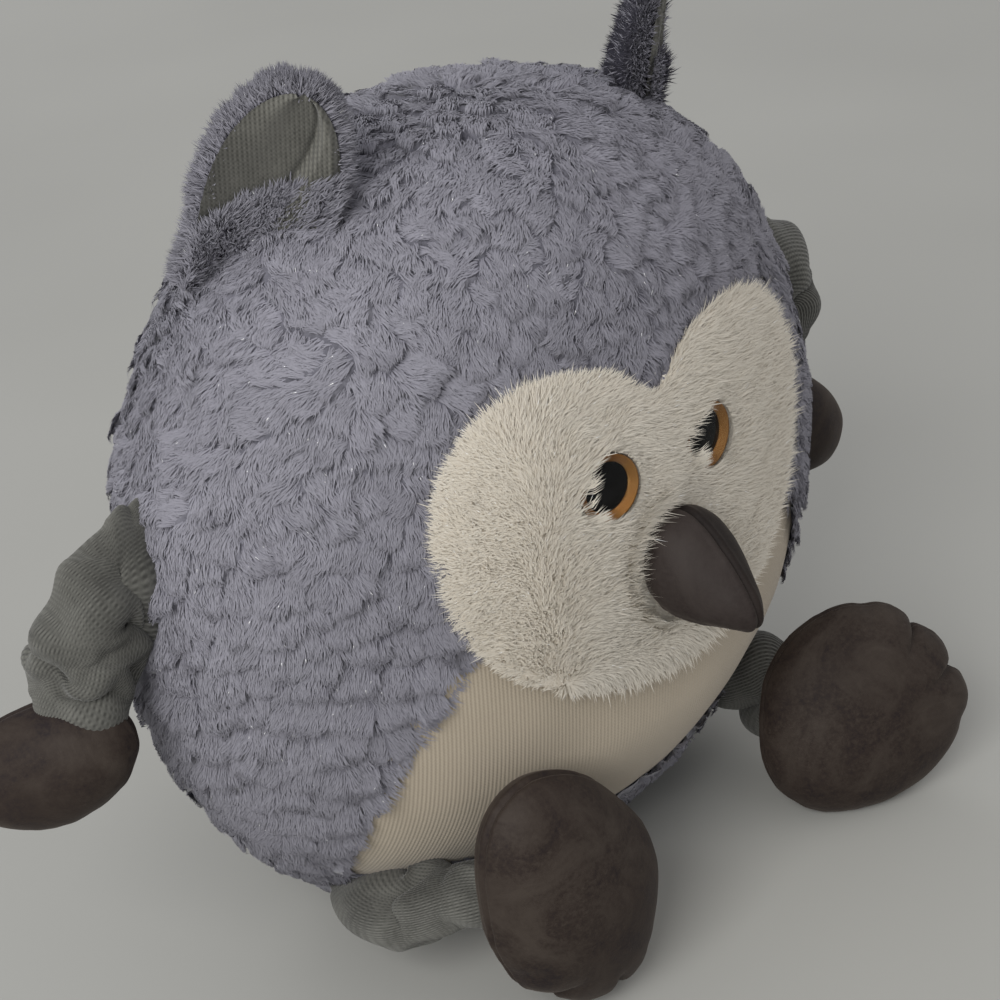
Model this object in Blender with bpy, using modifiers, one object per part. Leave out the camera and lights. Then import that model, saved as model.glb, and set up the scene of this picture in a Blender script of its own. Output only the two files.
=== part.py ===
"""Plush owl: a round stuffed body with a furry back, side, base and face cover, a knitted belly
and ear linings, glassy eyes on shanks, a padded beak, and limp knitted sleeves that end in stuffed
hands and feet. Heights are over the floor, and rises and drops are from the body's waist.

The owl stands on its base with its face to -Y and its own left to +X. The origin is the middle of
the flat base. All sizes are in metres.
"""

import math

import bmesh
import bpy
from mathutils import Matrix, Vector
from mathutils.bvhtree import BVHTree

MM = 0.001

# Body, measured over the fur: its waist, where it is widest, follows from how it settles on its base
BODY_WIDTH = 316 * MM
BODY_FRONT_DEPTH = 97 * MM
BODY_BACK_DEPTH = 88 * MM
BODY_CROWN_RISE = 158 * MM
BODY_BASE_DROP = 166 * MM
BASE_SETTLE = 10 * MM
BASE_SOFTNESS = 5 * MM
BASE_FLAT_CUT = 0.5 * MM
BASE_LOWEST = BASE_SETTLE + BASE_SOFTNESS * math.exp(-1 - BASE_SETTLE / BASE_SOFTNESS)
BODY_WAIST_HEIGHT = BODY_BASE_DROP - BASE_LOWEST - BASE_FLAT_CUT

# How square the body is: upright section at the sides and at the front, and plan section
SIDE_SQUARE_SHARE = 2.05
FRONT_SQUARE_SHARE = 2.6
PLAN_SQUARE_SHARE = 1.86
LAP_TUCK_SHARE = 0.34
LAP_TOP_SHARE = 0.62

# Cloths
FUR_THICKNESS = 8 * MM
FACE_THICKNESS = 10 * MM
KNIT_THICKNESS = 2.5 * MM
VELOUR_THICKNESS = 2 * MM
BACKING_THICKNESS = 1.5 * MM

# Gap kept between pieces that touch, gap that a sleeve keeps to what it swings past, gap along a
# sewn seam, overrun of a cutter and weld distance
CLEARANCE = 0.3 * MM
SWING_GAP = 0.7 * MM
SEAM_GAP = 0.6 * MM
OVERRUN = 40 * MM
WELD = CLEARANCE / 100

# Seams of the body
SIDE_SEAM_BACK = 6 * MM
BASE_SEAM_HEIGHT = 43 * MM

# White face mask: two lobes with a notch between them, and the belly below it
MASK_HALF_WIDTH = 86 * MM
MASK_DROP = 39 * MM
MASK_RISE = 81 * MM
MASK_SHARES = (
    (0.0, 0.0), (0.34, 0.03), (0.66, 0.12), (0.89, 0.30), (0.99, 0.54), (0.97, 0.76),
    (0.78, 0.94), (0.50, 1.0), (0.22, 0.965), (0.0, 0.86),
)
BELLY_HALF_WIDTH = 114 * MM
BELLY_TOP_OVERLAP = 60 * MM
BELLY_SHARES = ((0.88, 0.0), (0.96, 0.18), (0.98, 0.38), (0.90, 0.60), (0.74, 0.82), (0.62, 1.0))

# Eyes
EYE_DIAMETER = 24 * MM
EYE_SPACING = 47 * MM
EYE_RISE = 39 * MM
EYE_DOME_RISE = 6.5 * MM
EYE_WALL = 1.2 * MM
EYE_PUPIL_DIAMETER = 16.5 * MM
EYE_IRIS_THICKNESS = 0.8 * MM
EYE_SHANK_DIAMETER = 5 * MM
EYE_SHANK_LENGTH = 12 * MM
EYE_WASHER_DIAMETER = 18 * MM
EYE_WASHER_THICKNESS = 2 * MM
EYE_WELL_MARGIN = 2 * MM

# Beak
BEAK_RISE = 3 * MM
BEAK_HALF_WIDTH = 23 * MM
BEAK_HALF_HEIGHT = 25 * MM
BEAK_LENGTH = 44 * MM
BEAK_DROOP = 9 * MM
BEAK_TIP_SHARE = 0.60
BEAK_UNDER_SHARE = 0.45

# Ears
EAR_OFFSET = 77 * MM
EAR_SETBACK = 5 * MM
EAR_WIDTH = 48 * MM
EAR_HEIGHT = 70 * MM
EAR_CUP = 10 * MM
EAR_BACK_THICKNESS = 5 * MM
EAR_TURN = math.radians(26)
EAR_LEAN = math.radians(16)
EAR_TIP_IN = math.radians(10)
EAR_LINING_SHARE = 0.82
EAR_ROUND_POWER = 3.2
EAR_ROOT_WIDTH_SHARE = 0.86
EAR_MIDDLE_SWELL_SHARE = 0.32
EAR_TIP_CURL_SHARE = 0.3
EAR_SUNK_SHARE = 0.45

# Arms: sleeves sewn in the side seams, with a stuffed hand on each
SHOULDER_RISE = 28 * MM
SHOULDER_BEARING = math.radians(88)
ARM_SEAM_LENGTH = 42 * MM
ARM_ROOT_RADIUS = 8 * MM
ARM_BULGE_RADIUS = 15 * MM
ARM_STANDOFFS = {"right": 6 * MM, "left": 8 * MM}
ARM_BULGE_DROPS = {"right": 12 * MM, "left": 20 * MM}
WRIST_STANDOFFS = {"right": 16 * MM, "left": 16 * MM}
WRIST_DROPS = {"right": 26 * MM, "left": 48 * MM}
WRIST_RADIUS = 12 * MM
HAND_LENGTH = 62 * MM
HAND_WIDTH = 42 * MM
HAND_THICKNESS = 32 * MM
HAND_SWELL_SHARE = 0.07
ARM_SWINGS = {"right": math.radians(-22), "left": math.radians(-50)}
HAND_AXIS_SHARES = {"right": (0.93, 0.25, -0.28), "left": (0.62, -0.45, -0.64)}
HAND_THICK_SHARES = {"right": (0.25, -0.95, 0.15), "left": (0.62, 0.76, 0.10)}
WRIST_PLACE_SHARES = {"right": (-0.30, 0.0, 0.95), "left": (-0.10, 0.20, 0.97)}

# How far each arm swings forwards and back about its side seam, and each hand in and out
SHOULDER_LIMITS = {
    "right": (math.radians(-20), math.radians(60)), "left": (math.radians(-10), math.radians(50)),
}
WRIST_LIMITS = {
    "right": (math.radians(-15), math.radians(60)), "left": (math.radians(-10), math.radians(60)),
}

# Legs: sleeves sewn in the base seam, with a stuffed foot on each, its middle at a bearing from the
# front and at a distance out from the body there
HIP_DROP = 1 * MM
HIP_BEARING = math.radians(54)
LEG_SEAM_LENGTH = 38 * MM
LEG_ROOT_RADIUS = 9 * MM
LEG_BULGE_RADIUS = 14 * MM
LEG_BULGE_BOW = 7 * MM
ANKLE_RADIUS = 11 * MM
FOOT_LENGTH = 98 * MM
FOOT_WIDTH = 80 * MM
FOOT_THICKNESS = 45 * MM
FLOOR_GAP = 0.2 * MM
FOOT_BEARINGS = {"right": math.radians(-32), "left": math.radians(48)}
FOOT_STANDOFFS = {"right": 27 * MM, "left": 45 * MM}
FOOT_AXIS_SHARES = {"right": (-0.18, 0.0, -0.98), "left": (0.84, -0.28, 0.45)}
FOOT_SOLE_SHARES = {"right": (-0.06, -0.99, 0.10), "left": (-0.34, -0.86, 0.36)}
ANKLE_PLACE_SHARES = {"right": (0.12, -0.50, -0.82), "left": (-0.55, 0.10, -0.82)}
TOE_COUNT = 3
TOE_SPREAD = math.radians(38)
TOE_DEPTH_SHARE = 0.10
TOE_INNER_SHARE = 0.45
TOE_MEAN_SHARE = 0.65
HEEL_TAPER_SHARE = 0.06

# How far each leg swings down and up about its seam, and each foot back and forwards on its ankle
HIP_LIMITS = {
    "right": (math.radians(-40), math.radians(3)), "left": (math.radians(-40), math.radians(12)),
}
ANKLE_LIMITS = {
    "right": (math.radians(-3), math.radians(30)), "left": (math.radians(-3), math.radians(40)),
}

# Mesh counts
BODY_SEGMENTS = 32
BODY_RINGS = 18
LIMB_SEGMENTS = 18
LIMB_RINGS = 10
EYE_STEPS = 20
EYE_DOME_STEPS = 5
SLEEVE_SEGMENTS = 14
SLEEVE_STATIONS = 8
SLEEVE_END_STEPS = 3
ROOM_STEPS = 12
EAR_ROWS = 8
GATHER_COUNT = 2
GATHER_SHARE = 0.12
OUTLINE_STEPS = 4
SEARCH_STEPS = 40
SHARP_ANGLE = math.radians(50)

FUR_COLOUR = (0.40, 0.39, 0.50)
WHITE_COLOUR = (0.80, 0.77, 0.72)
KNIT_CREAM_COLOUR = (0.66, 0.58, 0.46)
KNIT_GREY_COLOUR = (0.20, 0.20, 0.19)
VELOUR_COLOUR = (0.085, 0.062, 0.052)
STUFFING_COLOUR = (0.85, 0.85, 0.83)
PUPIL_COLOUR = (0.005, 0.005, 0.006)
IRIS_COLOUR = (0.42, 0.15, 0.03)
LENS_COLOUR = (0.92, 0.92, 0.92)
WASHER_COLOUR = (0.75, 0.75, 0.75)


def clear_scene():
    for old in list(bpy.data.objects):
        bpy.data.objects.remove(old, do_unlink=True)


clear_scene()
OWL = bpy.data.collections.new("plush_owl")
CUTTERS = bpy.data.collections.new("cutters")
bpy.context.scene.collection.children.link(OWL)
bpy.context.scene.collection.children.link(CUTTERS)


def material(name, colour, roughness, metallic=0.0):
    made = bpy.data.materials.new(name)
    made.use_nodes = True
    shader = made.node_tree.nodes["Principled BSDF"]
    shader.inputs["Base Color"].default_value = (*colour, 1.0)
    shader.inputs["Roughness"].default_value = roughness
    shader.inputs["Metallic"].default_value = metallic
    made.diffuse_color = (*colour, 1.0)
    return made


FUR = material("lavender_fur", FUR_COLOUR, 0.9)
WHITE_FUR = material("white_fur", WHITE_COLOUR, 0.9)
CREAM_KNIT = material("cream_knit", KNIT_CREAM_COLOUR, 0.85)
GREY_KNIT = material("grey_knit", KNIT_GREY_COLOUR, 0.8)
VELOUR = material("taupe_velour", VELOUR_COLOUR, 0.75)
STUFFING = material("stuffing", STUFFING_COLOUR, 0.95)
PUPIL = material("black_plastic", PUPIL_COLOUR, 0.15)
IRIS = material("amber_glitter", IRIS_COLOUR, 0.3, 0.4)
LENS = material("clear_plastic", LENS_COLOUR, 0.05)
WASHER = material("washer_plastic", WASHER_COLOUR, 0.5)


def add_object(name, mesh, finish, collection=OWL):
    made = bpy.data.objects.new(name, mesh)
    collection.objects.link(made)
    if finish:
        mesh.materials.clear()
        mesh.materials.append(finish)
    if collection is CUTTERS:
        made.hide_render = True
        made.display_type = "WIRE"
    return made


def mesh_from(bm, name):
    bm.normal_update()
    bmesh.ops.recalc_face_normals(bm, faces=bm.faces)
    mesh = bpy.data.meshes.new(name)
    bm.to_mesh(mesh)
    bm.free()
    mesh.shade_smooth()
    mesh.set_sharp_from_angle(angle=SHARP_ANGLE)
    return mesh


def smooth_step(value):
    held = min(max(value, 0.0), 1.0)
    return held * held * (3 - 2 * held)


def rounded(segments, rings, place_of):
    """A ball whose points a function moves, in triangles, so that nested forms have like facets."""
    bm = bmesh.new()
    bmesh.ops.create_uvsphere(bm, u_segments=segments, v_segments=rings, radius=1)
    for vert in bm.verts:
        vert.co = place_of(vert.co.normalized())
    bmesh.ops.triangulate(bm, faces=bm.faces[:], quad_method="FIXED")
    return bm


def body_place(direction, inset):
    """The point of the body, inset from the fur's surface, that a direction from its middle meets."""
    x, y, z = direction
    flat = math.hypot(x, y)
    facing = (y / flat) ** 2 if flat > 0 else 0.0
    square = SIDE_SQUARE_SHARE + (FRONT_SQUARE_SHARE - SIDE_SQUARE_SHARE) * facing
    reach = (flat ** square + abs(z) ** square) ** (-1 / square)
    plan_power = PLAN_SQUARE_SHARE if y < 0 else 2
    plan = 1.0
    if flat > 0:
        plan = ((abs(x) / flat) ** plan_power + (abs(y) / flat) ** plan_power) ** (-1 / plan_power)
    half_depth = (BODY_FRONT_DEPTH if y < 0 else BODY_BACK_DEPTH) - inset
    half_height = (BODY_CROWN_RISE if z > 0 else BODY_BASE_DROP) - inset
    half_width = BODY_WIDTH / 2 - inset
    place = Vector((x * plan * half_width, y * plan * half_depth, z * half_height)) * reach
    drop = -place.z / BODY_BASE_DROP
    if place.y < 0:
        tuck = LAP_TUCK_SHARE * smooth_step((drop - 1 + LAP_TOP_SHARE) / LAP_TOP_SHARE)
        place.y *= 1 - tuck
    settled = -(BODY_BASE_DROP - inset) + BASE_SETTLE
    depth = settled + BASE_SOFTNESS - place.z
    if depth > 0:
        place.z = settled + BASE_SOFTNESS * math.exp(-depth / BASE_SOFTNESS)
    place.z += BODY_WAIST_HEIGHT
    return place


def body_surface(bearing, height, inset=0.0):
    """Point and outward normal on the body at a bearing from the front towards +X and at a height."""
    low, high = -math.pi / 2, math.pi / 2
    for _ in range(SEARCH_STEPS):
        tilt = (low + high) / 2
        if body_at(bearing, tilt, inset).z < height:
            low = tilt
        else:
            high = tilt
    step = math.radians(0.5)
    across = body_at(bearing + step, tilt, inset) - body_at(bearing - step, tilt, inset)
    upward = body_at(bearing, tilt + step, inset) - body_at(bearing, tilt - step, inset)
    return body_at(bearing, tilt, inset), across.cross(upward).normalized()


def body_at(bearing, tilt, inset):
    direction = (
        math.sin(bearing) * math.cos(tilt),
        -math.cos(bearing) * math.cos(tilt),
        math.sin(tilt),
    )
    return body_place(direction, inset)


def front_point(across, height, inset=0.0):
    """Point and outward normal on the front of the body at a distance from its middle plane."""
    low, high = -math.pi / 2, math.pi / 2
    for _ in range(SEARCH_STEPS):
        bearing = (low + high) / 2
        if body_surface(bearing, height, inset)[0].x < across:
            low = bearing
        else:
            high = bearing
    return body_surface(bearing, height, inset)


def body_solid(name, inset, finish=None, collection=CUTTERS):
    bm = rounded(BODY_SEGMENTS, BODY_RINGS, lambda direction: body_place(direction, inset))
    cut = bmesh.ops.bisect_plane(
        bm, geom=bm.verts[:] + bm.edges[:] + bm.faces[:], plane_co=(0, 0, inset),
        plane_no=(0, 0, 1), clear_inner=True, dist=WELD,
    )
    rim = [item for item in cut["geom_cut"] if isinstance(item, bmesh.types.BMEdge)]
    if rim:
        bmesh.ops.contextual_create(bm, geom=rim)
    return add_object(name, mesh_from(bm, name), finish, collection)


def smooth_outline(points, steps):
    """A closed rounded outline through the points."""
    result = []
    count = len(points)
    for index in range(count):
        before, here = Vector(points[index - 1]), Vector(points[index])
        after, later = Vector(points[(index + 1) % count]), Vector(points[(index + 2) % count])
        for step in range(steps):
            share = step / steps
            result.append(
                here + (after - before) * share / 2
                + (before * 2 - here * 5 + after * 4 - later) * share ** 2 / 2
                + (here * 3 - before - after * 3 + later) * share ** 3 / 2
            )
    return result


def prism(name, points, near, far):
    """An upright outline in X and Z, extruded along Y from near to far, as a cutter."""
    curve = bpy.data.curves.new(name, "CURVE")
    curve.dimensions = "2D"
    curve.fill_mode = "BOTH"
    curve.extrude = abs(far - near) / 2
    spline = curve.splines.new("POLY")
    spline.points.add(len(points) - 1)
    for point, place in zip(spline.points, points):
        point.co = (place[0], place[1], 0, 1)
    spline.use_cyclic_u = True
    shown = bpy.data.objects.new(name, curve)
    CUTTERS.objects.link(shown)
    mesh = bpy.data.meshes.new_from_object(shown.evaluated_get(bpy.context.evaluated_depsgraph_get()))
    bpy.data.objects.remove(shown, do_unlink=True)
    bm = bmesh.new()
    bm.from_mesh(mesh)
    bmesh.ops.remove_doubles(bm, verts=bm.verts, dist=WELD)
    turn = Matrix.Translation((0, (near + far) / 2, 0)) @ Matrix.Rotation(math.pi / 2, 4, "X")
    bmesh.ops.transform(bm, matrix=turn, verts=bm.verts)
    return add_object(name, mesh_from(bm, name), None, CUTTERS)


def block(name, low, high):
    bm = bmesh.new()
    bmesh.ops.create_cube(bm, size=1)
    low, high = Vector(low), Vector(high)
    for vert in bm.verts:
        vert.co = (low + high) / 2 + Vector(a * b for a, b in zip(vert.co, high - low))
    return add_object(name, mesh_from(bm, name), None, CUTTERS)


def rod(name, radius, start, end, steps=EYE_STEPS, end_radius=None):
    bm = bmesh.new()
    start, end = Vector(start), Vector(end)
    bmesh.ops.create_cone(
        bm, cap_ends=True, segments=steps, radius1=radius,
        radius2=radius if end_radius is None else end_radius, depth=(end - start).length,
    )
    turn = (end - start).to_track_quat("Z", "Y").to_matrix().to_4x4()
    bmesh.ops.transform(bm, matrix=Matrix.Translation((start + end) / 2) @ turn, verts=bm.verts)
    return add_object(name, mesh_from(bm, name), None, CUTTERS)


def cut(target, operation, cutter):
    change = target.modifiers.new(cutter.name, "BOOLEAN")
    change.operation = operation
    change.object = cutter
    change.solver = "EXACT"
    return target


def turned(name, profile, finish, steps=EYE_STEPS):
    """A profile of (radius, height) pairs turned about Z, from its top axis point to its bottom one."""
    mesh = bpy.data.meshes.new(name)
    points = [(radius, 0, height) for radius, height in profile]
    mesh.from_pydata(points, [(index, index + 1) for index in range(len(points) - 1)], [])
    made = add_object(name, mesh, finish)
    screw = made.modifiers.new("turn", "SCREW")
    screw.axis = "Z"
    screw.steps = steps
    screw.render_steps = steps
    screw.use_merge_vertices = True
    screw.merge_threshold = WELD
    screw.use_smooth_shade = True
    return made


MASK_BOTTOM = BODY_WAIST_HEIGHT - MASK_DROP
HALF_SPAN = BODY_WIDTH / 2 + OVERRUN
ABOVE = BODY_WAIST_HEIGHT + BODY_CROWN_RISE + OVERRUN
FRONT_END = -BODY_FRONT_DEPTH - OVERRUN
BACK_END = BODY_BACK_DEPTH + OVERRUN
SIDE_SEAM = -SIDE_SEAM_BACK
HALF_SEAM = SEAM_GAP / 2
STUFFING_INSET = FUR_THICKNESS + CLEARANCE


def mask_points(grow):
    half = [
        (MASK_HALF_WIDTH * across, MASK_BOTTOM + (MASK_DROP + MASK_RISE) * up)
        for across, up in MASK_SHARES
    ]
    mirrored = [(-across, up) for across, up in reversed(half[1:-1])]
    outline = smooth_outline(half + mirrored, OUTLINE_STEPS)
    return grown(outline, grow)


def belly_points(grow):
    height = MASK_BOTTOM + BELLY_TOP_OVERLAP - BASE_SEAM_HEIGHT
    half = [
        (BELLY_HALF_WIDTH * across, BASE_SEAM_HEIGHT + HALF_SEAM - grow + height * up)
        for across, up in BELLY_SHARES
    ]
    outline = half + [(-across, up) for across, up in reversed(half)]
    return [(across + math.copysign(grow, across), up) for across, up in outline]


def grown(outline, grow):
    """The outline moved outwards by a distance, along its own normals."""
    result = []
    count = len(outline)
    for index, place in enumerate(outline):
        along = outline[(index + 1) % count] - outline[index - 1]
        result.append(place + Vector((along.y, -along.x)).normalized() * grow)
    return result


FUR_OUTER = body_solid("fur_outer", 0.0)
FACE_OUTER = body_solid("face_outer", FUR_THICKNESS - FACE_THICKNESS)
KNIT_OUTER = body_solid("knit_outer", FUR_THICKNESS - KNIT_THICKNESS)
COVER_INNER = body_solid("cover_inner", FUR_THICKNESS)
BEAK_SEAT = body_solid("beak_seat", FUR_THICKNESS - CLEARANCE)
EAR_SEAT = body_solid("ear_seat", -CLEARANCE)
SWING_ROOM = body_solid("swing_room", -SWING_GAP)

MASK_CUT = prism("mask_cut", mask_points(SEAM_GAP), FRONT_END, SIDE_SEAM)
MASK_KEEP = prism("mask_keep", mask_points(0.0), FRONT_END, SIDE_SEAM)
BELLY_CUT = prism("belly_cut", belly_points(SEAM_GAP), FRONT_END, SIDE_SEAM)
BELLY_KEEP = prism("belly_keep", belly_points(0.0), FRONT_END, SIDE_SEAM)


def copy_of(source, name, finish):
    return add_object(name, source.data.copy(), finish)


def make_body():
    stuffing = body_solid("torso_stuffing", STUFFING_INSET, STUFFING, OWL)
    back = cut(copy_of(FUR_OUTER, "back_cover", FUR), "DIFFERENCE", COVER_INNER)
    back_keep = block(
        "back_keep", (-HALF_SPAN, SIDE_SEAM + HALF_SEAM, BASE_SEAM_HEIGHT + HALF_SEAM),
        (HALF_SPAN, BACK_END, ABOVE),
    )
    cut(back, "INTERSECT", back_keep)
    base = cut(copy_of(FUR_OUTER, "base_cover", FUR), "DIFFERENCE", COVER_INNER)
    base_keep = block(
        "base_keep", (-HALF_SPAN, FRONT_END, -OVERRUN),
        (HALF_SPAN, BACK_END, BASE_SEAM_HEIGHT - HALF_SEAM),
    )
    cut(base, "INTERSECT", base_keep)
    sides = {}
    for side, sign in (("right", -1), ("left", 1)):
        keep = block(
            "side_keep_" + side,
            (min(sign * HALF_SEAM, sign * HALF_SPAN), FRONT_END, BASE_SEAM_HEIGHT + HALF_SEAM),
            (max(sign * HALF_SEAM, sign * HALF_SPAN), SIDE_SEAM - HALF_SEAM, ABOVE),
        )
        cover = cut(copy_of(FUR_OUTER, "side_cover_" + side, FUR), "DIFFERENCE", COVER_INNER)
        cut(cover, "INTERSECT", keep)
        cut(cover, "DIFFERENCE", MASK_CUT)
        cut(cover, "DIFFERENCE", BELLY_CUT)
        sides[side] = cover
    face = cut(copy_of(FACE_OUTER, "face_cover", WHITE_FUR), "DIFFERENCE", COVER_INNER)
    cut(face, "INTERSECT", MASK_KEEP)
    belly = cut(copy_of(KNIT_OUTER, "belly_cover", CREAM_KNIT), "DIFFERENCE", COVER_INNER)
    cut(belly, "INTERSECT", BELLY_KEEP)
    cut(belly, "DIFFERENCE", MASK_CUT)
    return stuffing, face


def make_eye(side, sign, stuffing, face):
    """A clear dome over an amber ring and a black pupil, whose shank a washer holds behind the cloth."""
    seat, outward = front_point(sign * EYE_SPACING / 2, BODY_WAIST_HEIGHT + EYE_RISE, FUR_THICKNESS)
    radius = EYE_DIAMETER / 2
    pupil = EYE_PUPIL_DIAMETER / 2
    shank = EYE_SHANK_DIAMETER / 2
    plate = EYE_IRIS_THICKNESS
    back = BACKING_THICKNESS + CLEARANCE
    dome_base = back + plate + CLEARANCE
    ring_inner = pupil + CLEARANCE
    turns = EYE_DOME_STEPS
    arc = [
        (radius * math.sin(math.pi / 2 * step / turns),
         dome_base + EYE_WALL + (EYE_DOME_RISE - EYE_WALL) * math.cos(math.pi / 2 * step / turns))
        for step in range(turns + 1)
    ]
    dome = arc + [(radius, back), (radius - EYE_WALL, back), (radius - EYE_WALL, dome_base), (0, dome_base)]
    ring_outer = radius - EYE_WALL - CLEARANCE
    ring = [(ring_inner, back + plate), (ring_outer, back + plate), (ring_outer, back),
            (ring_inner, back), (ring_inner, back + plate)]
    stud = [(0, back + plate), (pupil, back + plate), (pupil, back), (shank, back),
            (shank, -EYE_SHANK_LENGTH + back), (0, -EYE_SHANK_LENGTH + back)]
    bore = shank + CLEARANCE
    washer_top = -CLEARANCE
    washer_outer = EYE_WASHER_DIAMETER / 2
    washer = [(bore, washer_top), (washer_outer, washer_top),
              (washer_outer, washer_top - EYE_WASHER_THICKNESS),
              (bore, washer_top - EYE_WASHER_THICKNESS), (bore, washer_top)]
    turn = outward.to_track_quat("Z", "Y")
    for name, profile, finish in (
        ("eye_lens_", dome, LENS), ("eye_iris_", ring, IRIS), ("eye_pupil_", stud, PUPIL),
        ("eye_washer_", washer, WASHER),
    ):
        piece = turned(name + side, profile, finish)
        piece.location = seat
        piece.rotation_mode = "QUATERNION"
        piece.rotation_quaternion = turn
    well = rod(
        "eye_well_" + side, radius + CLEARANCE, seat + outward * BACKING_THICKNESS,
        seat + outward * (FACE_THICKNESS + EYE_WELL_MARGIN),
        end_radius=radius + EYE_WELL_MARGIN + CLEARANCE,
    )
    hole = rod("shank_hole_" + side, bore, seat - outward * OVERRUN, seat + outward * OVERRUN)
    pocket = rod(
        "washer_pocket_" + side, washer_outer + CLEARANCE,
        seat - outward * (EYE_SHANK_LENGTH + CLEARANCE), seat,
    )
    cut(face, "DIFFERENCE", well)
    cut(face, "DIFFERENCE", hole)
    cut(face, "DIFFERENCE", pocket)
    cut(stuffing, "DIFFERENCE", pocket)


def beak_solid(name, inset, finish, collection):
    """A drooping rounded cone on the face, with its wide end at the face and a blunt tip."""
    root = front_point(0, BODY_WAIST_HEIGHT + BEAK_RISE, FUR_THICKNESS)[0]

    def place_of(unit):
        reach = (unit.z + 1) / 2
        taper = 1 - (1 - BEAK_TIP_SHARE) * smooth_step(reach)
        return root + Vector((
            unit.x * (BEAK_HALF_WIDTH - inset) * taper,
            -inset - reach * (BEAK_LENGTH + BACKING_THICKNESS - 2 * inset),
            unit.y * (BEAK_HALF_HEIGHT - inset) * taper - BEAK_DROOP * reach ** 2,
        ))

    bm = rounded(LIMB_SEGMENTS, LIMB_RINGS, place_of)
    return add_object(name, mesh_from(bm, name), finish, collection)


def make_beak(face):
    make = beak_solid
    core = make("beak_stuffing", VELOUR_THICKNESS + CLEARANCE, STUFFING, OWL)
    inner = make("beak_inner", VELOUR_THICKNESS, None, CUTTERS)
    footprint = make("beak_footprint", -CLEARANCE, None, CUTTERS)
    root = front_point(0, BODY_WAIST_HEIGHT + BEAK_RISE, FUR_THICKNESS)[0]
    under = root.z - BEAK_HALF_HEIGHT * BEAK_UNDER_SHARE
    low = Vector((-HALF_SPAN, FRONT_END, root.z - OVERRUN - BEAK_HALF_HEIGHT))
    high = Vector((HALF_SPAN, SIDE_SEAM, root.z + OVERRUN + BEAK_HALF_HEIGHT))
    slope = math.atan2(BEAK_DROOP, BEAK_LENGTH)
    for name, corner, opposite in (
        ("beak_side_right", (low.x, low.y, under + HALF_SEAM), (-HALF_SEAM, high.y, high.z)),
        ("beak_side_left", (HALF_SEAM, low.y, under + HALF_SEAM), (high.x, high.y, high.z)),
        ("beak_underside", (low.x, low.y, low.z), (high.x, high.y, under - HALF_SEAM)),
    ):
        keep = block(name + "_keep", corner, opposite)
        for vert in keep.data.vertices:
            vert.co.z += (vert.co.y - root.y) * math.tan(slope)
        panel = make(name, 0.0, VELOUR, OWL)
        cut(panel, "DIFFERENCE", inner)
        cut(panel, "INTERSECT", keep)
        cut(panel, "DIFFERENCE", BEAK_SEAT)
    cut(core, "DIFFERENCE", BEAK_SEAT)
    cut(face, "DIFFERENCE", footprint)


def ear_sheet(name, depth, thickness, shrink, finish):
    """A cupped ear leaf: a grid drawn in to a rounded point, given its thickness towards the back."""
    bm = bmesh.new()
    bmesh.ops.create_grid(bm, x_segments=EAR_ROWS, y_segments=EAR_ROWS, size=1)
    half = EAR_WIDTH / 2 - shrink
    for vert in bm.verts:
        across, up = vert.co.x, (vert.co.y + 1) / 2
        width = half * math.sqrt(max(1 - up ** EAR_ROUND_POWER, 0.0))
        width *= EAR_ROOT_WIDTH_SHARE + EAR_MIDDLE_SWELL_SHARE * up * (1 - up)
        bend = across ** 2 * (1 - up) + EAR_TIP_CURL_SHARE * up ** 2
        vert.co = (across * width, depth - EAR_CUP * bend, up * (EAR_HEIGHT - shrink))
    bmesh.ops.remove_doubles(bm, verts=bm.verts, dist=WELD)
    bmesh.ops.recalc_face_normals(bm, faces=bm.faces)
    mesh = bpy.data.meshes.new(name)
    bm.to_mesh(mesh)
    bm.free()
    mesh.shade_smooth()
    leaf = add_object(name, mesh, finish)
    thick = leaf.modifiers.new("thickness", "SOLIDIFY")
    thick.thickness = thickness
    thick.offset = 1 if mesh.polygons[0].normal.y > 0 else -1
    return leaf


def make_ear(side, sign):
    shrink = EAR_WIDTH * (1 - EAR_LINING_SHARE) / 2
    back = ear_sheet("ear_back_" + side, 0.0, EAR_BACK_THICKNESS, 0.0, FUR)
    lining = ear_sheet("ear_lining_" + side, -CLEARANCE, -KNIT_THICKNESS, shrink, GREY_KNIT)
    for leaf in (back, lining):
        leaf.location = (sign * EAR_OFFSET, -EAR_SETBACK, ear_height())
        leaf.rotation_euler = (EAR_LEAN, -sign * EAR_TIP_IN, sign * EAR_TURN)
        cut(leaf, "DIFFERENCE", EAR_SEAT)


def ear_height():
    """Where the ear's root line starts, a little inside the body before the body cuts it."""
    low, high = BODY_WAIST_HEIGHT, BODY_WAIST_HEIGHT + BODY_CROWN_RISE
    for _ in range(SEARCH_STEPS):
        level = (low + high) / 2
        if body_surface(math.pi / 2, level)[0].x > EAR_OFFSET:
            low = level
        else:
            high = level
    return level - EAR_WIDTH * EAR_SUNK_SHARE


def toe_shape(unit):
    """Scallops of the toes at the +X end of the foot, and a narrower heel at its other end."""
    flat = math.hypot(unit.x, unit.y)
    bearing = math.atan2(unit.y, unit.x)
    rim = smooth_step((flat - TOE_INNER_SHARE) / (1 - TOE_INNER_SHARE))
    span = TOE_SPREAD * TOE_COUNT / 2
    grow = 1.0
    if abs(bearing) < span:
        wave = abs(math.sin(math.pi * (bearing + span) / TOE_SPREAD))
        fade = smooth_step((span - abs(bearing)) / TOE_SPREAD * TOE_COUNT)
        grow += rim * TOE_DEPTH_SHARE * (wave - TOE_MEAN_SHARE) * fade
    return grow - HEEL_TAPER_SHARE * smooth_step(-unit.x)


def mitt_shape(unit):
    """A fuller outer end and a narrower wrist end."""
    return 1 + HAND_SWELL_SHARE * unit.x


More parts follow.
